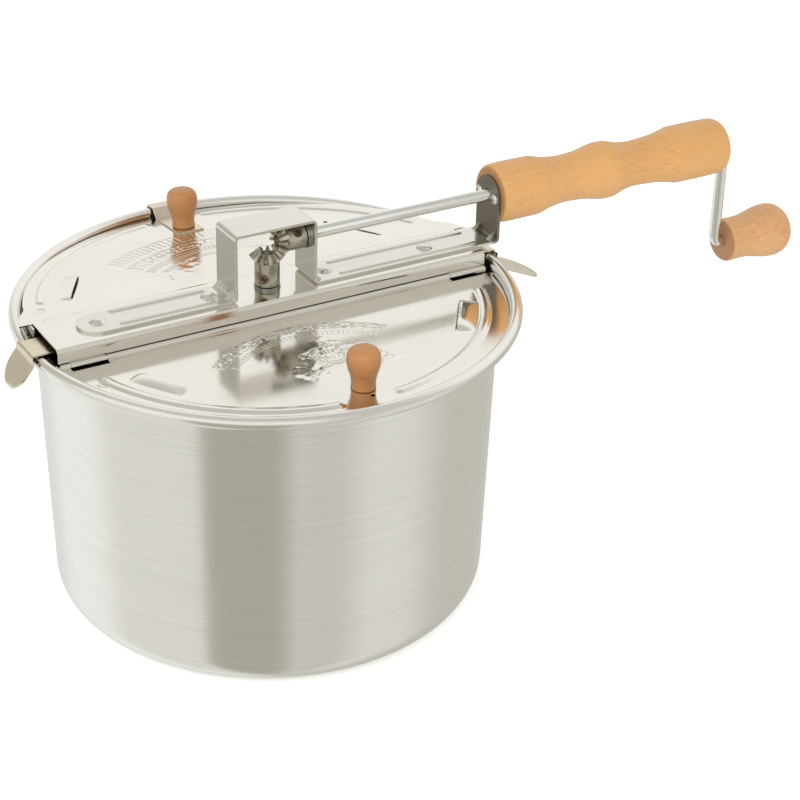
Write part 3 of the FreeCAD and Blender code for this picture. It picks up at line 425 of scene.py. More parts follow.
def make_wood_grain():
    """Close-grained hardwood turned along X: soft growth bands, long fibres and short dark
    flecks. Bands come from a wave across the length that slow noise pushes about."""
    tree, given, out = new_group("wood_grain", [("Vector", "Vector", None), ("Float", "Bands", 170.0)],
                                 [("Float", "Band", 0.0), ("Float", "Fibres", 0.0),
                                  ("Float", "Fleck", 0.0)])
    vector = given["Vector"]
    slow = stretched(tree, vector, (5.0, 30.0, 30.0))
    push = node(tree, "TexNoise", {"Vector": slow, "Scale": 1.0, "Detail": 2.0}).outputs["Color"]
    pushed = stretched(tree, push, (0.0, 0.010, 0.012))
    moved = vector_node(tree, "ADD", vector, pushed)
    bands = node(tree, "TexWave", {"Vector": moved, "Scale": given["Bands"], "Distortion": 1.0,
                                   "Detail": 2.0, "Detail Scale": 1.4},
                 wave_type="BANDS", bands_direction="Y").outputs["Fac"]
    thin = stretched(tree, vector, (60.0, 1500.0, 1500.0))
    short = stretched(tree, vector, (260.0, 1500.0, 1500.0))
    fill(tree, out, {"Band": bands, "Fibres": noise(tree, thin, 1.0, 3.0, 0.6),
                     "Fleck": ranged(tree, noise(tree, short, 0.8, 1.0, 0.4), 0.64, 0.76)})
    return tree


def make_kernel_band():
    """Embossed band of corn kernels along an arc on a flat sheet: the outlines of cells, or of
    upright strokes where Strokes is 1, kept to the band by its middle radius, half width,
    middle turn and half turn. Lengths in metres, turns in radians."""
    tree, given, out = new_group("kernel_band", [("Vector", "Vector", None), ("Vector", "Centre", None),
                                                 ("Float", "Radius", 0.06), ("Float", "Half Width", 0.004),
                                                 ("Float", "Turn", 1.57), ("Float", "Half Turn", 0.8),
                                                 ("Float", "Cell", 0.003), ("Float", "Strokes", 0.0)],
                                 [("Float", "Height", 0.0)])
    away = vector_node(tree, "SUBTRACT", given["Vector"], given["Centre"])
    parts = node(tree, "SeparateXYZ", {0: away})
    turn = math_node(tree, "ARCTAN2", parts.outputs["Y"], parts.outputs["X"])
    flat = node(tree, "CombineXYZ", {0: parts.outputs["X"], 1: parts.outputs["Y"]}).outputs[0]
    reach = node(tree, "VectorMath", {0: flat}, operation="LENGTH").outputs["Value"]
    off = math_node(tree, "SUBTRACT", reach, given["Radius"])
    side = math_node(tree, "SUBTRACT", turn, given["Turn"])
    within = []
    for gap, half, full in ((off, "Half Width", 0.9), (side, "Half Turn", 0.98)):
        share = math_node(tree, "DIVIDE", math_node(tree, "ABSOLUTE", gap), given[half])
        within.append(ranged(tree, share, 1.0, full))
    inside = times(tree, *within)
    along = times(tree, turn, given["Radius"])
    laid = node(tree, "CombineXYZ", {0: along, 1: off}).outputs[0]
    scale = math_node(tree, "DIVIDE", 1.0, given["Cell"])
    cells = node(tree, "TexVoronoi", {"Vector": laid, "Scale": scale, "Randomness": 0.55},
                 feature="DISTANCE_TO_EDGE").outputs["Distance"]
    domes = ranged(tree, cells, 0.0, 0.16)
    stroke = math_node(tree, "PINGPONG", times(tree, along, scale), 0.5)
    strokes = ranged(tree, stroke, 0.08, 0.24)
    relief = mixed_value(tree, given["Strokes"], domes, strokes)
    fill(tree, out, {"Height": times(tree, relief, inside)})
    return tree


BRUSHED = make_brushed()
HANDLING = make_handling()
CAST_GRAIN = make_cast_grain()
WOOD_GRAIN = make_wood_grain()
KERNEL_BAND = make_kernel_band()


# Embossed rows: (arc's centre, radius, half width, middle turn, half turn, cell, strokes or cells).
EMBOSS = 0.16
FRONT_BANDS = (((-6.0, -92.0), 62.0, 3.6, 90.0, 47.0, 2.9, 0.0),
               ((-6.0, -92.0), 54.5, 2.0, 90.0, 45.0, 2.4, 1.0),
               ((2.0, -78.0), 22.0, 4.5, 62.0, 62.0, 4.2, 0.0),
               ((2.0, -78.0), 14.0, 1.6, 62.0, 66.0, 2.4, 1.0),
               ((2.0, -92.0), 22.0, 1.8, 92.0, 60.0, 2.6, 0.0))
REAR_BANDS = (((0.0, -6.0), 88.0, 5.0, 90.0, 38.0, 3.4, 1.0), ((0.0, -6.0), 76.5, 4.4, 91.0, 39.0, 3.8, 0.0),
              ((0.0, -6.0), 67.5, 2.6, 92.0, 38.0, 2.4, 1.0), ((0.0, -6.0), 60.0, 1.6, 92.0, 36.0, 2.6, 0.0))


def place_group(tree, group, values):
    return fill(tree, node(tree, "Group", {}, node_tree=group), values).outputs


def new_material(name, metallic, coat=0.0, anisotropic=0.0, specular=0.5):
    """Material with its shader, output and Object coordinates."""
    material = bpy.data.materials.new(name)
    material.use_nodes = True
    tree = material.node_tree
    tree.nodes.clear()
    shader = node(tree, "BsdfPrincipled", {"Metallic": metallic, "Coat Weight": coat, "Coat Roughness": 0.2,
                                           "Anisotropic": anisotropic, "Specular IOR Level": specular})
    node(tree, "OutputMaterial", {"Surface": shader.outputs["BSDF"]})
    coordinates = tree.nodes.new("ShaderNodeTexCoord").outputs["Object"]
    return material, tree, shader, coordinates


def bumped(tree, shader, height, distance, normal=None):
    values = {"Height": height, "Distance": distance}
    if normal is not None:
        values["Normal"] = normal
    bump = node(tree, "Bump", values).outputs["Normal"]
    fill(tree, shader, {"Normal": bump})
    return bump


# Dark tone painted on the bracket's far strip along X, a painted dark reflection.
DARK_REFLECTION_TONE = (0.25, 0.225, 0.185)


def metal(name, light, dark, roughness, stretch, lines_height, smudge=0.05, streaks=0.15,
          anisotropic=0.0, wave=0.0, bands=(), dark_reflection_from=None):
    """Sheet or drawn metal: colour and roughness follow its working lines and its handling.
    Spun metal, where anisotropic is set, spreads its shine across its lines about Z. Bands are
    embossed rows; past the given distance along X the colour is a painted dark reflection and the shine is
    rougher."""
    material, tree, shader, coordinates = new_material(name, 1.0, anisotropic=anisotropic)
    brushed = place_group(tree, BRUSHED, {"Vector": coordinates, "Stretch": stretch, "Streaks": streaks})
    marks = place_group(tree, HANDLING, {"Vector": coordinates, "Size": 26.0})
    tone = mixed(tree, brushed["Lines"], dark, light)
    tone = mixed(tree, times(tree, marks["Smudge"], 0.35), tone, dark)
    tone = mixed(tree, times(tree, marks["Scratch"], 0.3), tone, dark)
    rough = ranged(tree, brushed["Lines"], 0.0, 1.0, roughness * 1.12, roughness * 0.9)
    smudged = math_node(tree, "MULTIPLY_ADD", marks["Smudge"], smudge, rough)
    # Painted dark reflection: past this distance along X the colour moves to the dark tone, and the
    # roughness rises.
    if dark_reflection_from is not None:
        x = node(tree, "SeparateXYZ", {0: coordinates}).outputs["X"]
        dark_reflection_zone = ranged(tree, x, dark_reflection_from * MM, (dark_reflection_from + 4.0) * MM)
        tone = mixed(tree, dark_reflection_zone, tone, DARK_REFLECTION_TONE)
        smudged = mixed_value(tree, dark_reflection_zone, smudged, roughness * 1.6)
    fill(tree, shader, {"Base Color": tone, "Roughness": smudged})
    normal = bumped(tree, shader, brushed["Lines"], lines_height * MM)
    if wave:
        normal = bumped(tree, shader, noise(tree, coordinates, 34.0, 1.5, 0.45), wave * MM, normal=normal)
    if bands:
        relief = None
        for centre, radius, half_width, turn, half_turn, cell, strokes in bands:
            row = place_group(tree, KERNEL_BAND, {
                "Vector": coordinates, "Centre": (centre[0] * MM, centre[1] * MM, 0.0),
                "Radius": radius * MM, "Half Width": half_width * MM, "Turn": math.radians(turn),
                "Half Turn": math.radians(half_turn), "Cell": cell * MM, "Strokes": strokes})["Height"]
            relief = row if relief is None else math_node(tree, "MAXIMUM", relief, row)
        bumped(tree, shader, relief, EMBOSS * MM, normal=normal)
    if anisotropic:
        tangent = node(tree, "Tangent", {}, direction_type="RADIAL", axis="Z").outputs[0]
        fill(tree, shader, {"Tangent": tangent, "Anisotropic Rotation": 0.25})
    return material


def wood(name, pale, deep, fleck, axis_turn, bands=170.0, coat=0.2, end=None):
    """Lacquered hardwood: bands between two browns, darker fibres and flecks, a clear coat, and
    darker end grain on the face at end millimetres along X."""
    material, tree, shader, coordinates = new_material(name, 0.0, coat=coat, specular=0.35)
    turned = node(tree, "Mapping", {"Vector": coordinates, "Rotation": axis_turn}).outputs[0]
    grain = place_group(tree, WOOD_GRAIN, {"Vector": turned, "Bands": bands})
    tone = mixed(tree, ranged(tree, grain["Band"], 0.1, 0.9, 0.05, 0.2), pale, deep)
    tone = mixed(tree, ranged(tree, grain["Fibres"], 0.35, 0.7, 0.0, 0.5), tone, deep)
    tone = mixed(tree, times(tree, grain["Fleck"], 0.4), tone, fleck)
    cloud = ranged(tree, noise(tree, turned, 30.0, 3.0), 0.35, 0.7, 0.0, 0.5)
    tone = mixed(tree, cloud, tone, pale)
    if end is not None:
        x = node(tree, "SeparateXYZ", {0: coordinates}).outputs["X"]
        tone = mixed(tree, ranged(tree, x, (end + 0.9) * MM, (end + 0.2) * MM, 0.0, 0.6), tone, fleck)
    fill(tree, shader, {"Base Color": tone,
                        "Roughness": ranged(tree, grain["Fibres"], 0.3, 0.75, 0.34, 0.48)})
    bumped(tree, shader, grain["Fibres"], 0.03 * MM)
    return material


def cast(name, light, dark, roughness, worn_axis, worn_centre, worn_radius):
    """Cast metal, brighter where the teeth rub: beyond worn_radius from the gear's own axis."""
    material, tree, shader, coordinates = new_material(name, 1.0)
    grain = place_group(tree, CAST_GRAIN, {"Vector": coordinates, "Scale": 850.0})
    base = mixed(tree, grain["Stain"], light, dark)
    away = vector_node(tree, "SUBTRACT", coordinates, tuple(worn_centre))
    flat = stretched(tree, away, worn_axis)
    radius = node(tree, "VectorMath", {0: flat}, operation="LENGTH").outputs["Value"]
    worn = ranged(tree, radius, worn_radius * MM, (worn_radius + 0.8) * MM)
    bright = (min(1.0, light[0] * 1.45), min(1.0, light[1] * 1.44), min(1.0, light[2] * 1.42))
    fill(tree, shader, {"Base Color": mixed(tree, worn, base, bright)})
    rough = ranged(tree, grain["Stain"], 0.0, 1.0, roughness, roughness * 1.35)
    fill(tree, shader, {"Roughness": math_node(tree, "MULTIPLY_ADD", worn, -0.12, rough)})
    bumped(tree, shader, grain["Height"], 0.07 * MM)
    return material


GEAR_TIP_R = 7.9         # the teeth are rubbed bright beyond this
UNWORN = 1000.0          # beyond every surface


SHEET = ((0.87, 0.85, 0.80), (0.80, 0.78, 0.73))
PLATE = ((0.79, 0.78, 0.735), (0.72, 0.71, 0.665))
ROLLED = ((20.0, 1300.0, 20.0), 0.0004, 0.06)
# Metals: look, then metal's own values in their order, then the named ones.
METALS = (
    ("pot", ("pot_aluminium", (0.88, 0.87, 0.835), (0.80, 0.79, 0.75), 0.20, (5.0, 5.0, 1000.0), 0.0022,
             0.03, 0.1), {"anisotropic": 0.75}),
    ("lid_front", ("lid_front_aluminium", *SHEET, 0.10, *ROLLED), {"wave": 0.02, "bands": FRONT_BANDS}),
    ("lid_rear", ("lid_rear_aluminium", *SHEET, 0.12, *ROLLED), {"wave": 0.02, "bands": REAR_BANDS}),
    # The bracket's far strip gets a painted dark reflection.
    ("bracket", ("bracket_plated_steel", *PLATE, 0.20, (30.0, 1400.0, 300.0), 0.0006, 0.06),
     {"dark_reflection_from": 124.0}),
    ("plated", ("plated_steel", *PLATE, 0.22, (300.0, 300.0, 300.0), 0.0008, 0.06), {}),
    ("bright", ("bright_steel", (0.84, 0.82, 0.77), (0.70, 0.68, 0.63), 0.14, (500.0, 500.0, 500.0),
                0.0012, 0.06), {}),
    ("chrome", ("chrome_plate", (0.88, 0.875, 0.85), (0.80, 0.795, 0.765), 0.05, (300.0, 900.0, 900.0),
                0.0002, 0.04), {}),
    ("spring", ("spring_steel", (0.78, 0.71, 0.57), (0.70, 0.63, 0.50), 0.24, (60.0, 60.0, 60.0), 0.0005,
                0.06), {}),
    ("wire", ("stirrer_wire", (0.72, 0.71, 0.69), (0.60, 0.59, 0.57), 0.22, (400.0, 400.0, 400.0), 0.001,
              0.08), {}),
    ("screw", ("dark_screw", (0.30, 0.22, 0.18), (0.14, 0.09, 0.07), 0.30, (700.0, 700.0, 700.0), 0.004,
               0.08), {}),
)


def make_materials():
    """Every finish on the popper, by name."""
    made = {look: metal(*given, **more) for look, given, more in METALS}
    crank = (0.0, 0.0, CRANK_Z * MM)
    for gear, across in (("shaft_gear", (1.0, 1.0, 0.0)), ("crank_gear", (0.0, 1.0, 1.0))):
        made[gear] = cast("cast_" + gear, (0.60, 0.575, 0.475), (0.36, 0.34, 0.265), 0.32, across, crank,
                          GEAR_TIP_R)
    made["bush"] = cast("cast_bush", (0.50, 0.485, 0.44), (0.32, 0.31, 0.28), 0.30,
                        (0.0, 0.0, 0.0), crank, UNWORN)
    made["handle"] = wood("handle_maple", (0.66, 0.365, 0.135), (0.50, 0.235, 0.07),
                          (0.27, 0.125, 0.045), (0.0, 0.0, 0.0), end=HANDLE_LOW[0])
    made["grip"] = wood("grip_beech", (0.66, 0.375, 0.175), (0.44, 0.20, 0.07),
                        (0.23, 0.10, 0.04), (0.3, 0.0, 0.0), 190.0, end=GRIP_LOW[0])
    made["knob"] = wood("knob_beech", (0.48, 0.225, 0.08), (0.36, 0.145, 0.045),
                        (0.20, 0.08, 0.03), (0.0, math.pi / 2, 0.0), 230.0)
    return made


# ======== embossing of the lid
def arc_rib(x, y, radius, first, last, width, height):
    """Raised rib along an arc: a raised cosine of the distance to the arc's middle line."""
    turn = np.degrees(np.arctan2(y, x))
    nearest = np.radians(np.clip(turn, first, last))
    gap = np.hypot(x - radius * np.cos(nearest), y - radius * np.sin(nearest))
    share = np.clip(gap / (width / 2), 0, 1)
    return height * (0.5 + 0.5 * np.cos(math.pi * share ** 1.5))


def dimple(x, y, centre, radius, depth):
    """Round dent with a soft edge."""
    share = np.clip(np.hypot(x - centre[0], y - centre[1]) / radius, 0, 1)
    return -depth * (0.5 + 0.5 * np.cos(math.pi * share ** 1.6))


def dome_bump(x, y, cx, cy, turn, long, wide, height):
    """Rounded oval bump: height times the square root of one minus the oval distance squared."""
    c, s = math.cos(turn), math.sin(turn)
    u = ((x - cx) * c + (y - cy) * s) / long
    v = (-(x - cx) * s + (y - cy) * c) / wide
    return height * np.sqrt(np.clip(1 - u * u - v * v, 0, 1))


def popped_corn(x, y, cx, cy, size, height, turn=0.0):
    """A popped kernel: five puffs round a middle one, each a dome, with the creases between."""
    total = dome_bump(x, y, cx, cy, 0.0, size * 0.42, size * 0.42, height)
    for k in range(5):
        a = turn + k * 2 * math.pi / 5
        reach = size * (0.52 if k % 2 else 0.46)
        puff = dome_bump(x, y, cx + reach * math.cos(a), cy + reach * math.sin(a), a,
                         size * 0.36, size * (0.33 if k % 2 else 0.39), height * 0.92)
        total = np.maximum(total, puff)
    return total


# Vents: (turn of the vent's middle, radius of its mouth, half length, depth, height), open inwards.
REAR_VENTS = ((150.5, 95.5, 15.5, 8.0, 1.7), (25.0, 86.0, 9.0, 8.0, 0.5))
FRONT_VENTS = ((-148.0, 93.5, 14.5, 7.5, 2.2), (-35.0, 95.5, 16.0, 9.0, 2.6))
REAR_HOLE = polar(91.0, 43.0)
FRONT_HOLE = (0.0, -106.0)
HOLE_R = 1.2
MOUTH_HALF_GAP = 0.06
MOUTH_SHARE = 0.93


def vent_frame(x, y, vent):
    """Distance outwards from a vent's mouth and along it."""
    a = math.radians(vent[0])
    out = x * math.cos(a) + y * math.sin(a) - vent[1]
    along = -x * math.sin(a) + y * math.cos(a)
    return out, along


def vent_rise(x, y, vent):
    """Louvre pressed up from the sheet: full height at its mouth, falling to nothing over its
    depth, and rounded down at both ends."""
    out, along = vent_frame(x, y, vent)
    fall = np.where(out >= 0, 1 - np.clip(out / vent[3], 0, 1) ** 1.6, 0)
    ends = np.sqrt(np.clip(1 - np.clip(np.abs(along) / vent[2], 0, 1) ** 4, 0, 1))
    return vent[4] * fall * ends


def corner_masks(cells):
    """Grid points that touch any of the cells, and those with all four of their cells among them."""
    ring = np.pad(cells, 1)
    four = np.stack([ring[:-1, :-1], ring[:-1, 1:], ring[1:, 1:], ring[1:, :-1]])
    return four.any(0), four.all(0)


def open_vents(x, y, vents):
    """Cells that straddle a vent's mouth, to be left open, and the grid with their corners moved
    onto the mouth's two edges."""
    closed = ~every_cell(x)
    for vent in vents:
        out, along = vent_frame(x, y, vent)
        corners = np.stack([out[:-1, :-1], out[:-1, 1:], out[1:, 1:], out[1:, :-1]])
        middle = np.abs(along[:-1, :-1] + along[1:, 1:]) / 2
        cut = (corners.min(0) < 0) & (corners.max(0) >= 0) & (middle < vent[2] * MOUTH_SHARE)
        touched = corner_masks(cut)[0]
        edge = np.where(out >= 0, MOUTH_HALF_GAP, -MOUTH_HALF_GAP)
        shift = np.where(touched, edge - out, 0)
        a = math.radians(vent[0])
        x = x + shift * math.cos(a)
        y = y + shift * math.sin(a)
        closed |= cut
    return x, y, closed


def hole_cells(x, y, centre, radius):
    """Cells inside a round hole, and the grid with the hole's border moved onto its circle."""
    gap = np.hypot(x - centre[0], y - centre[1])
    middle = (gap[:-1, :-1] + gap[:-1, 1:] + gap[1:, 1:] + gap[1:, :-1]) / 4
    inside = middle < radius
    touched, full = corner_masks(inside)
    border = touched & ~full & (gap > 1e-6)
    scale = np.where(border, radius / np.maximum(gap, 1e-6), 1.0)
    return inside, centre[0] + (x - centre[0]) * scale, centre[1] + (y - centre[1]) * scale


# Heaps of popped corn: (x, y, size, turn) of each, low on both halves.
FRONT_HEAP = ((-7, -64, 9, 0.2), (6, -58, 9, 1.0), (17, -63, 8, 2.1), (-16, -72, 8, 0.7),
              (-2, -75, 9, 1.5), (10, -72, 9, 0.4), (5, -48, 7, 2.6))
REAR_HEAP = ((-42, 33, 8, 0.4), (-29, 40, 9, 1.3), (-14, 44, 9, 0.1), (3, 45, 9, 2.0), (19, 42, 9, 0.9),
             (34, 36, 8, 1.7))
CORN_RISE = 0.3
# Ribs near the edge: (radius, width, height, turns from and to).
FRONT_RIBS = (108.5, 6.4, 1.1, ((-161.0, -100.0), (-83.0, -19.0)))
REAR_RIBS = (111.0, 6.0, 1.1, ((99.0, 160.0), (20.0, 81.0)))


def embossed(x, y, heap, vents, ribs):
    """Height pressed into a flat sheet by its corn, vents and ribs together."""
    rise = np.zeros_like(x)
    for cx, cy, size, turn in heap:
        rise = np.maximum(rise, popped_corn(x, y, cx, cy, size, CORN_RISE, turn))
    for vent in vents:
        rise = rise + vent_rise(x, y, vent)
    radius, width, height, turns = ribs
    for first, last in turns:
        rise = rise + arc_rib(x, y, radius, first, last, width, height)
    return rise


def column_places(reach, count, extra):
    """Places across the lid, closer together towards its ends, with extra exact places."""
    share = np.linspace(-1, 1, count)
    even = 0.42 * share + 0.58 * np.sin(share * math.pi / 2)
    return np.unique(np.round(np.concatenate([reach * even, extra]), 4))


def columns_along(x1, y, z):
    """Grid with one column at each x, all following the same line in Y and Z."""
    shape = (len(y), len(x1))
    return np.stack([np.broadcast_to(x1, shape), np.broadcast_to(y[:, None], shape),
                     np.broadcast_to(z[:, None], shape)], axis=2)


CURL_ROWS = 18
LEAD_IN = 2.2            # flat strip between the hinge curl and the sheet
SHEET_ROWS = 118
COLUMNS = 290
CREASE_RISE = 0.35       # raised crease where the back half starts to slope
CREASE_HALF = 0.9
CREASE_END_X = 112
ARM_GAP = 5.5            # crank arm's middle to the foot of its knob
ARM_BEND_R = 5.0
WOOD_SHARP = 42.0        # degrees


def within_spans(middles, spans):
    """Columns whose middle lies inside one of the spans."""
    inside = np.zeros(len(middles), bool)
    for low, high in spans:
        inside |= (middles > low) & (middles < high)
    return inside


def every_cell(grid):
    return np.ones((grid.shape[0] - 1, grid.shape[1] - 1), bool)


def make_front_sheet(material):
    """Front half: each column runs from its hinge curl out to the round edge. Along a column the
    middle line is the curl's arc, then flat; the round edge is y = -sqrt(R^2 - x^2)."""
    edge = math.sqrt(LID_R ** 2 - HINGE_Y ** 2)
    spans = [(END_CURL_X[0], END_CURL_X[1]),
             (BACK_KNUCKLES[0][1] + KNUCKLE_GAP, BACK_KNUCKLES[1][0] - KNUCKLE_GAP)]
    cuts = [value for span in spans for value in span]
    x1 = column_places(edge - 0.02, COLUMNS, np.array(cuts))
    curl_r = KNUCKLE_R - LID_T / 2
    flat_z = LID_LOW + LID_T / 2
    start_y = HINGE_Y - NOTCH_DEPTH
    t = np.linspace(0, 1, SHEET_ROWS)
    end_y = -np.sqrt(np.maximum(LID_R ** 2 - x1 ** 2, HINGE_Y ** 2))
    end_y = np.minimum(end_y, start_y - 0.01)
    sheet_y = start_y + t[:, None] * (end_y - start_y)[None, :]
    x = np.broadcast_to(x1, sheet_y.shape).copy()
    x, sheet_y, closed = open_vents(x, sheet_y, FRONT_VENTS)
    inside, x, sheet_y = hole_cells(x, sheet_y, FRONT_HOLE, HOLE_R)
    rise = embossed(x, sheet_y, FRONT_HEAP, FRONT_VENTS, FRONT_RIBS)
    rise = rise + dimple(x, sheet_y, (-104.0, -38.0), 4.0, 0.7)
    flat = np.stack([x, sheet_y, flat_z + rise], axis=2)
    # the strip between the curl and the sheet, and the curl itself
    arc = np.radians(np.linspace(215.0, -90.0, CURL_ROWS))
    arc_y = HINGE_Y + curl_r * np.cos(arc)
    arc_z = HINGE_Z + curl_r * np.sin(arc)
    lead_y = np.concatenate([arc_y, [HINGE_Y - curl_r, HINGE_Y - LEAD_IN]])
    lead_z = np.concatenate([arc_z, [flat_z, flat_z]])
    middle = np.concatenate([columns_along(x1, lead_y, lead_z), flat])
    curled = within_spans((x1[:-1] + x1[1:]) / 2, spans)
    keep = np.concatenate([np.repeat(curled[None, :], len(lead_y), axis=0), ~(closed | inside)])
    points, faces = sheet_faces(middle[:, ::-1], keep[:, ::-1], LID_T)
    return mesh_piece("lid_front_sheet", points, faces, material)


def make_rear_sheet(material):
    """Back half: each column follows one bent line, round the hinge pin, up the flange, over the
    flat band and down the slope, as far as the round edge or the ears over the rim."""
    back_slope = (BAND_TOP - BACK_Z) / (LID_R - BAND_BACK_Y)
    half = LID_T / 2
    curl_r = KNUCKLE_R - half
    top = BAND_TOP - half
    far_y = EAR_R
    corners = [(FLANGE_Y, HINGE_Z + KNUCKLE_R + 0.4), (FLANGE_Y, top), (BAND_BACK_Y, top),
               (far_y, top - (far_y - BAND_BACK_Y) * back_slope)]
    line = rounded_line(corners, [BEND_R, BEND_R])
    arc = np.radians(np.linspace(-250.0, 0.0, CURL_ROWS))
    curl = np.stack([HINGE_Y + curl_r * np.cos(arc), HINGE_Z + curl_r * np.sin(arc)], axis=1)
    x1 = column_places(EAR_R - 0.02, COLUMNS + 20,
                       np.array([v for s in BACK_KNUCKLES for v in s] + [-FLANGE_END_X, FLANGE_END_X]))
    length = np.concatenate([[0], np.cumsum(np.linalg.norm(np.diff(line, axis=0), axis=1))])
    bend_end = length[np.argmax(line[:, 0] > FLANGE_Y + BEND_R + 0.2)]
    flange_s = np.linspace(0, bend_end, 16)[:-1]
    ears_x = np.array([LID_R - 5.2, EAR_R - 2.4, EAR_R - 0.7, EAR_R])
    ears_y = np.array([33.8, 23.0, 15.0, 9.0])
    reach = np.abs(x1)
    end_y = np.sqrt(np.maximum(LID_R ** 2 - x1 ** 2, 1.0))
    end_y = np.where(reach > ears_x[0], np.interp(reach, ears_x, ears_y), end_y)
    begin_y = np.interp(reach, [FLANGE_END_X, EAR_R - 1.5, EAR_R], [line[np.argmax(length >= bend_end), 0],
                                                                  -12.5, -9.0])
    over = length >= bend_end
    s_of_y = lambda y: np.interp(y, line[over, 0], length[over])
    t = np.linspace(0, 1, SHEET_ROWS + 34)
    begin_s, end_s = s_of_y(begin_y), s_of_y(end_y)
    sheet_s = begin_s + t[:, None] * (end_s - begin_s)[None, :]
    y = np.interp(sheet_s, length, line[:, 0])
    x = np.broadcast_to(x1, y.shape).copy()
    x, y, closed = open_vents(x, y, REAR_VENTS)
    inside, x, y = hole_cells(x, y, REAR_HOLE, HOLE_R)
    z = np.interp(y, line[over, 0], line[over, 1])
    rise = embossed(x, y, REAR_HEAP, REAR_VENTS, REAR_RIBS)
    rise = rise + dimple(x, y, polar(112.0, 165.0), 3.6, 0.9)
    crease = CREASE_RISE * np.exp(-((y - BAND_BACK_Y) / CREASE_HALF) ** 2)
    rise = rise + crease * (reach[None, :] < CREASE_END_X)
    roof = np.stack([x, y, z + np.where(y > 12.0, rise, 0)], axis=2)
    lead_y = np.concatenate([curl[:, 0], np.interp(flange_s, length, line[:, 0])])
    lead_z = np.concatenate([curl[:, 1], np.interp(flange_s, length, line[:, 1])])
    middle = np.concatenate([columns_along(x1, lead_y, lead_z), roof])
    mid_x = (x1[:-1] + x1[1:]) / 2
    keep = np.concatenate([np.repeat(within_spans(mid_x, BACK_KNUCKLES)[None, :], CURL_ROWS, axis=0),
                           np.repeat(np.abs(mid_x)[None, :] < FLANGE_END_X, len(flange_s), axis=0),
                           ~(closed | inside)])
    blocks = [sheet_faces(middle, keep, LID_T)]
    # the skirt hangs from the round edge: a curved wall from the seat up to the roof
    start = math.asin(SKIRT_START_Y / LID_R)
    turn = np.linspace(start, math.pi - start, 200)
    up = np.linspace(0, 1, 7)
    edge_r = LID_R - half
    head = np.interp(edge_r * np.sin(turn), line[over, 0], line[over, 1]) - half * 0.6
    skirt_z = (LID_LOW + up[:, None] * (head - LID_LOW)[None, :])
    skirt = np.stack([np.broadcast_to(edge_r * np.cos(turn), skirt_z.shape),
                      np.broadcast_to(edge_r * np.sin(turn), skirt_z.shape), skirt_z], axis=2)
    blocks.append(sheet_faces(skirt, every_cell(skirt), LID_T))
    points, faces = joined(blocks)
    return mesh_piece("lid_rear_sheet", points, faces, material)


# ======== pot
def make_pot(material):
    """Spun pot: the sheet's middle line from the base's centre round the bottom corner, up the
    wall, out to the seat and into the rolled rim, thickened and turned about Z."""
    seat = RIM_TOP - SEAT_DEPTH
    level = seat - POT_T / 2
    wall = RIM_R - RIM_STEP - POT_T / 2
    foot = wall - WALL_DRAFT
    rim_in = RIM_R - BEAD_R - (BEAD_R - POT_T / 2)
    draft = WALL_DRAFT / level
    corners = [(0.0, POT_T / 2), (foot + draft * POT_T / 2, POT_T / 2), (wall, level), (rim_in, level),
               (rim_in, RIM_TOP - BEAD_R)]
    line = rounded_line(corners, [FOOT_R - POT_T / 2, SEAT_BEND, RIM_BEND],
                        (BEAD_R - POT_T / 2, -CURL_SWEEP), 6.0)
    outline = thickened(line, POT_T)
    outline[0, 0] = outline[-1, 0] = 0.0
    points, faces = revolved(outline, 300)
    return mesh_piece("pot_shell", points, faces, material)


# ======== wood and rod
def smooth_profile(spots, rows):
    """Profile through (height, radius) spots, as cubic pieces that never pass beyond their ends:
    the slope at each spot is the harmonic mean of its two sides' slopes, or none at a peak."""
    h, r = np.array(spots, float).T
    side = np.diff(r) / np.diff(h)
    before, after = side[:-1], side[1:]
    same = before * after > 0
    mean = np.where(same, 2 * before * after / np.where(same, before + after, 1.0), 0.0)
    slope = np.concatenate([side[:1], mean, side[-1:]])
    at = np.linspace(h[0], h[-1], rows)
    k = np.clip(np.searchsorted(h, at, side="right") - 1, 0, len(h) - 2)
    step = h[k + 1] - h[k]
    t = (at - h[k]) / step
    radius = ((2 * t ** 3 - 3 * t ** 2 + 1) * r[k] + (t ** 3 - 2 * t ** 2 + t) * step * slope[k]
              + (-2 * t ** 3 + 3 * t ** 2) * r[k + 1] + (t ** 3 - t ** 2) * step * slope[k + 1])
    return np.stack([radius, at], axis=1)


HANDLE_PROFILE = ((0.9, 14.7), (1.8, 15.2), (8.0, 15.6), (25.2, 15.5), (25.8, 15.4), (33.0, 13.6),
                  (44.0, 12.4), (54.0, 12.9), (67.2, 15.2), (67.8, 15.25), (73.0, 15.15), (73.6, 15.0),
                  (80.0, 13.1), (80.6, 12.95), (89.0, 12.1), (101.0, 12.7), (115.4, 15.2),
                  (116.0, 15.4), (131.0, 15.5), (143.0, 15.2), (146.0, 14.2), (147.0, 12.6))
GRIP_PROFILE = ((0.6, 11.7), (1.4, 12.1), (8.0, 11.9), (14.0, 12.1), (21.0, 13.4), (28.0, 14.8),
                (32.5, 15.1), (36.5, 14.4), (40.0, 12.3), (42.5, 9.0))
KNOB_PROFILE = ((0.5, 6.0), (2.5, 5.85), (6.0, 6.2), (10.0, 7.4), (14.0, 8.15), (17.0, 7.9),
                (19.2, 6.9), (20.2, 5.6))


def along_x(points, x, y, z):
    """Points made about +Z, laid along +X from (x, y, z)."""
    return np.stack([points[:, 2] + x, points[:, 1] + y, -points[:, 0] + z], axis=1)


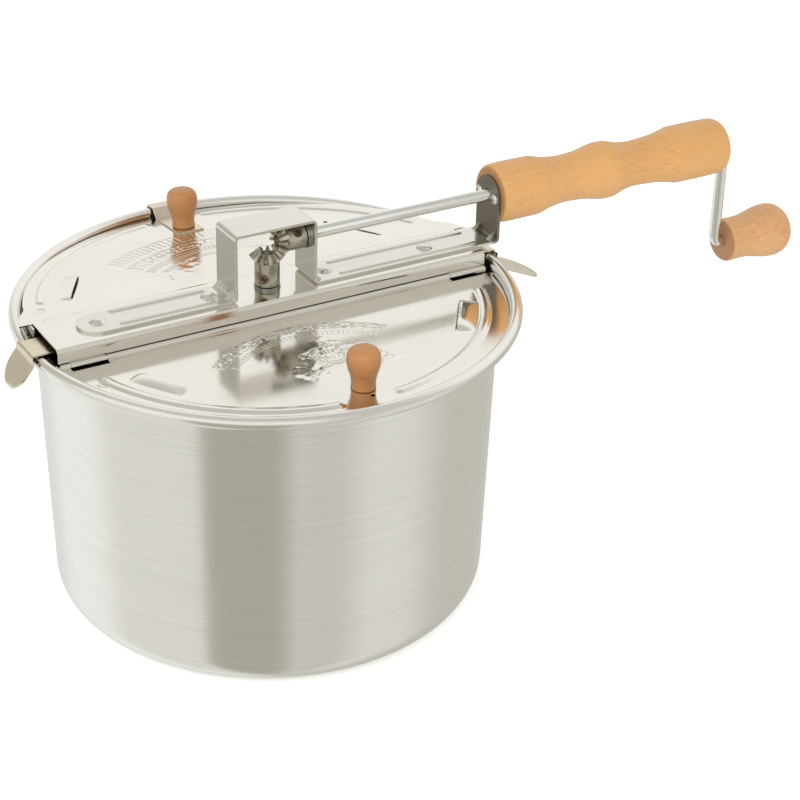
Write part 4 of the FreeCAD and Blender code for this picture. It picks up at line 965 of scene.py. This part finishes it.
def make_bored_wood(name, profile, bore, recess, place, material, chamfer=1.0):
    """Turned wood with a hole down its axis: the outside profile, a chamfered foot, and back
    along the bore, with a wider recess at its head where recess is (radius, depth)."""
    outside = smooth_profile(profile, 300)
    foot = [(bore, 0.0), (profile[0][1] - chamfer, 0.0)]
    length = profile[-1][0]
    if recess:
        inside = [(recess[0], length), (recess[0], length - recess[1]), (bore, length - recess[1])]
    else:
        inside = [(bore + 0.4, length), (bore, length - 0.4)]
    outline = np.concatenate([foot, outside, inside, [(bore, length / 2)]])
    points, faces = revolved(outline, 96, closed=True)
    return mesh_piece(name, along_x(points, *place), faces, material, WOOD_SHARP)


def make_lid_knob(name, node, material, tilt, screw_bore):
    """Turned lid knob: its profile closed by a rounded head, standing square to the sheet."""
    low, high = box_mm(node)
    outside = smooth_profile(KNOB_PROFILE, 60)
    head_r, head_h = KNOB_PROFILE[-1][1], KNOB_PROFILE[-1][0]
    turn = np.linspace(0, math.pi / 2, 8)[1:-1]
    head = np.stack([head_r * np.cos(turn), head_h + 0.38 * np.sin(turn)], axis=1)
    hole = [(0.0, 13.6), (screw_bore, 13.4), (screw_bore, 0.0)]
    outline = np.concatenate([hole, [(KNOB_PROFILE[0][1] - 0.5, 0.0)], outside, head,
                              [(0.0, head_h + 0.38)]])
    points, faces = revolved(outline, 72)
    c, s = math.cos(tilt), math.sin(tilt)
    y = points[:, 1] * c - points[:, 2] * s
    z = points[:, 1] * s + points[:, 2] * c
    points = np.stack([points[:, 0], y, z], axis=1)
    middle = (low + high) / 2
    mine = (points.min(0) + points.max(0)) / 2
    shift = np.array([0.0, middle[1] - mine[1], low[2] - points[:, 2].min()])
    return mesh_piece(name, points + shift, faces, material, WOOD_SHARP)


def make_rod(material):
    """Crank rod: straight from the gear through the handle, down the crank arm and out through
    the knob, its two bends arcs of one radius."""
    arm_x = GRIP_LOW[0] - ARM_GAP
    flat = rounded_line([(ROD_LOW[0], CRANK_Z), (arm_x, CRANK_Z), (arm_x, GRIP_Z), (ROD_HIGH[0], GRIP_Z)],
                        [ARM_BEND_R, ARM_BEND_R], step=6.0)
    path = np.stack([flat[:, 0], np.zeros(len(flat)), flat[:, 1]], axis=1)
    points, faces = swept_round(path, ROD_R)
    return mesh_piece("crank_rod_chrome", points, faces, material)


# ======== staging
CAMERA_AT = Vector((-0.42665, -0.83911, 0.62162))
CAMERA_TURN = math.radians(-31.04)
CAMERA_DOWN = math.radians(28.95)
CAMERA_ROLL = math.radians(1.42)
CAMERA_LENS = 94.725


def make_camera():
    """Camera looking down at the popper from its front left."""
    data = bpy.data.cameras.new("camera")
    data.lens = CAMERA_LENS
    data.sensor_width = 36.0
    data.clip_start = 0.05
    data.clip_end = 50.0
    camera = added("camera", data)
    back = Vector((math.sin(CAMERA_TURN) * math.cos(CAMERA_DOWN),
                   -math.cos(CAMERA_TURN) * math.cos(CAMERA_DOWN), math.sin(CAMERA_DOWN)))
    right = (-back).cross(Vector((0, 0, 1))).normalized()
    up = right.cross(-back)
    right_turned = right * math.cos(CAMERA_ROLL) + up * math.sin(CAMERA_ROLL)
    up_turned = up * math.cos(CAMERA_ROLL) - right * math.sin(CAMERA_ROLL)
    turn = Matrix((right_turned, up_turned, back)).transposed().to_4x4()
    camera.matrix_world = Matrix.Translation(CAMERA_AT) @ turn
    bpy.context.scene.camera = camera


def make_floor():
    """Pale seamless floor."""
    size = 6.0
    mesh = bpy.data.meshes.new("floor")
    mesh.from_pydata([(-size, -size, 0), (size, -size, 0), (size, size, 0), (-size, size, 0)], [],
                     [(0, 1, 2, 3)])
    floor = added("floor", mesh)
    material = bpy.data.materials.new("floor_paper")
    material.use_nodes = True
    shader = material.node_tree.nodes["Principled BSDF"]
    shader.inputs["Base Color"].default_value = (0.93, 0.93, 0.925, 1.0)
    shader.inputs["Roughness"].default_value = 0.9
    shader.inputs["Emission Color"].default_value = (1.0, 1.0, 0.995, 1.0)
    shader.inputs["Emission Strength"].default_value = 0.3
    mesh.materials.append(material)
    floor.visible_glossy = False


# Studio walls by compass turn: (turn, half width, softness, colour), all in degrees. The low ones
# show in the pot's wall, the high ones in the upright sheets.
LOW_GREY = (0.80, 0.795, 0.765)
LOW_WALLS = ((-128.0, 24.0, 2.0, (0.46, 0.445, 0.385)), (-88.0, 16.0, 10.0, (0.64, 0.63, 0.59)),
             (125.0, 22.0, 8.0, (0.97, 0.965, 0.95)), (15.0, 38.0, 16.0, (0.60, 0.585, 0.54)))
HIGH_WALLS = ((-59.0, 30.0, 12.0, (0.68, 0.655, 0.60)), (121.0, 26.0, 12.0, (0.56, 0.545, 0.49)))
CEILING = (0.62, 0.615, 0.60)


def make_world():
    """White studio with grey panels: directions are split into compass turn and height."""
    world = bpy.data.worlds.new("studio")
    bpy.context.scene.world = world
    world.use_nodes = True
    tree = world.node_tree
    tree.nodes.clear()
    direction = tree.nodes.new("ShaderNodeTexCoord").outputs["Generated"]
    flat = stretched(tree, direction, (1.0, 1.0, 0.0))
    flat = node(tree, "VectorMath", {0: flat}, operation="NORMALIZE").outputs[0]
    height = node(tree, "SeparateXYZ", {0: direction}).outputs["Z"]

    def walls(colour, panels):
        for turn, half, soft, panel in panels:
            toward = node(tree, "VectorMath", {0: flat, 1: (*polar(1.0, turn), 0.0)},
                          operation="DOT_PRODUCT").outputs["Value"]
            share = ranged(tree, toward, math.cos(math.radians(half + soft)),
                           math.cos(math.radians(max(half - soft, 0.0))))
            colour = mixed(tree, share, colour, panel)
        return colour

    low = walls(LOW_GREY, LOW_WALLS)
    high = walls((1.0, 0.99, 0.965), HIGH_WALLS)
    colour = mixed(tree, ranged(tree, height, 0.0, 0.16), low, high)
    colour = mixed(tree, ranged(tree, height, 0.72, 0.9), colour, CEILING)
    background = node(tree, "Background", {"Color": colour, "Strength": 1.0})
    node(tree, "OutputWorld", {"Surface": background.outputs[0]})


def make_light(name, place, target, size, power, colour=(1.0, 1.0, 1.0)):
    """Soft square light at place, facing target."""
    data = bpy.data.lights.new(name, "AREA")
    data.shape = "RECTANGLE"
    data.size, data.size_y = size
    data.energy = power
    data.color = colour
    light = added(name, data)
    light.location = place
    light.visible_glossy = False
    light.rotation_euler = (Vector(target) - Vector(place)).to_track_quat("-Z", "Y").to_euler()


def make_stage():
    make_camera()
    make_floor()
    make_world()
    make_light("front_light", (-0.45, -1.2, 1.1), (0.05, 0, 0.12), (1.2, 0.9), 10.0)
    make_light("left_light", (-1.4, -0.2, 0.9), (0, 0, 0.12), (0.7, 1.0), 5.0, (1.0, 0.995, 0.985))
    settings = bpy.context.scene.view_settings
    settings.view_transform = "Standard"
    settings.look = "None"


# ======== the popper
make_stage()
finish = make_materials()

stand_for(make_pot(finish["pot"]), "pot")
stand_for(make_front_sheet(finish["lid_front"]), "lid_front")
stand_for(make_rear_sheet(finish["lid_rear"]), "lid_rear")
stand_for(make_rod(finish["chrome"]), "crank_rod")
stand_for(make_bored_wood("main_handle_wood", HANDLE_PROFILE, ROD_R + 0.1, None,
                          (HANDLE_LOW[0], 0.0, CRANK_Z), finish["handle"]), "main_handle")
stand_for(make_bored_wood("crank_knob_wood", GRIP_PROFILE, ROD_R + 0.1, (5.9, 4.0),
                          (GRIP_LOW[0], 0.0, GRIP_Z), finish["grip"]), "crank_knob")
KNOB_TILT = -math.atan((BAND_TOP - BACK_Z) / (LID_R - BAND_BACK_Y))
stand_for(make_lid_knob("front_knob_wood", "front_knob", finish["knob"], 0.0, 1.8), "front_knob")
stand_for(make_lid_knob("rear_knob_wood", "rear_knob", finish["knob"], KNOB_TILT, 1.8), "rear_knob")

# CAD pieces finished as they are: (finish, width of the broken edge).
FINISHED = {
    "hinge_pin": ("bright", 0.15),
    "gear_bracket": ("bracket", 0.25),
    "inner_rivets": ("bright", 0.15),
    "end_rivets": ("bright", 0.15),
    "shaft_bush": ("bush", 0.2),
    "bush_ring": ("plated", 0.2),
    "leg_bush": ("bush", 0.2),
    "shaft_gear": ("shaft_gear", 0.15),
    "shaft_gear_setscrew": ("screw", 0.1),
    "stir_shaft": ("wire", 0.3),
    "stir_hub": ("plated", 0.3),
    "stir_arm_left": ("wire", 0.15),
    "stir_arm_right": ("wire", 0.15),
    "crank_gear": ("crank_gear", 0.15),
    "crank_gear_setscrew": ("screw", 0.1),
    "handle_screws": ("bright", 0.12),
    "crank_knob_cap": ("bright", 0.15),
    "front_knob_screw": ("bright", 0.12),
    "front_knob_washer": ("plated", 0.15),
    "rear_knob_screw": ("bright", 0.12),
    "rear_knob_washer": ("plated", 0.15),
    "rear_hook": ("spring", 0.15),
    "left_clip": ("spring", 0.15),
    "right_clip": ("spring", 0.15),
    "left_clip_root": ("spring", 0.15),
    "right_clip_root": ("spring", 0.15),
}
for name, (look, edge) in FINISHED.items():
    finished_copy(name, finish[look], edge)
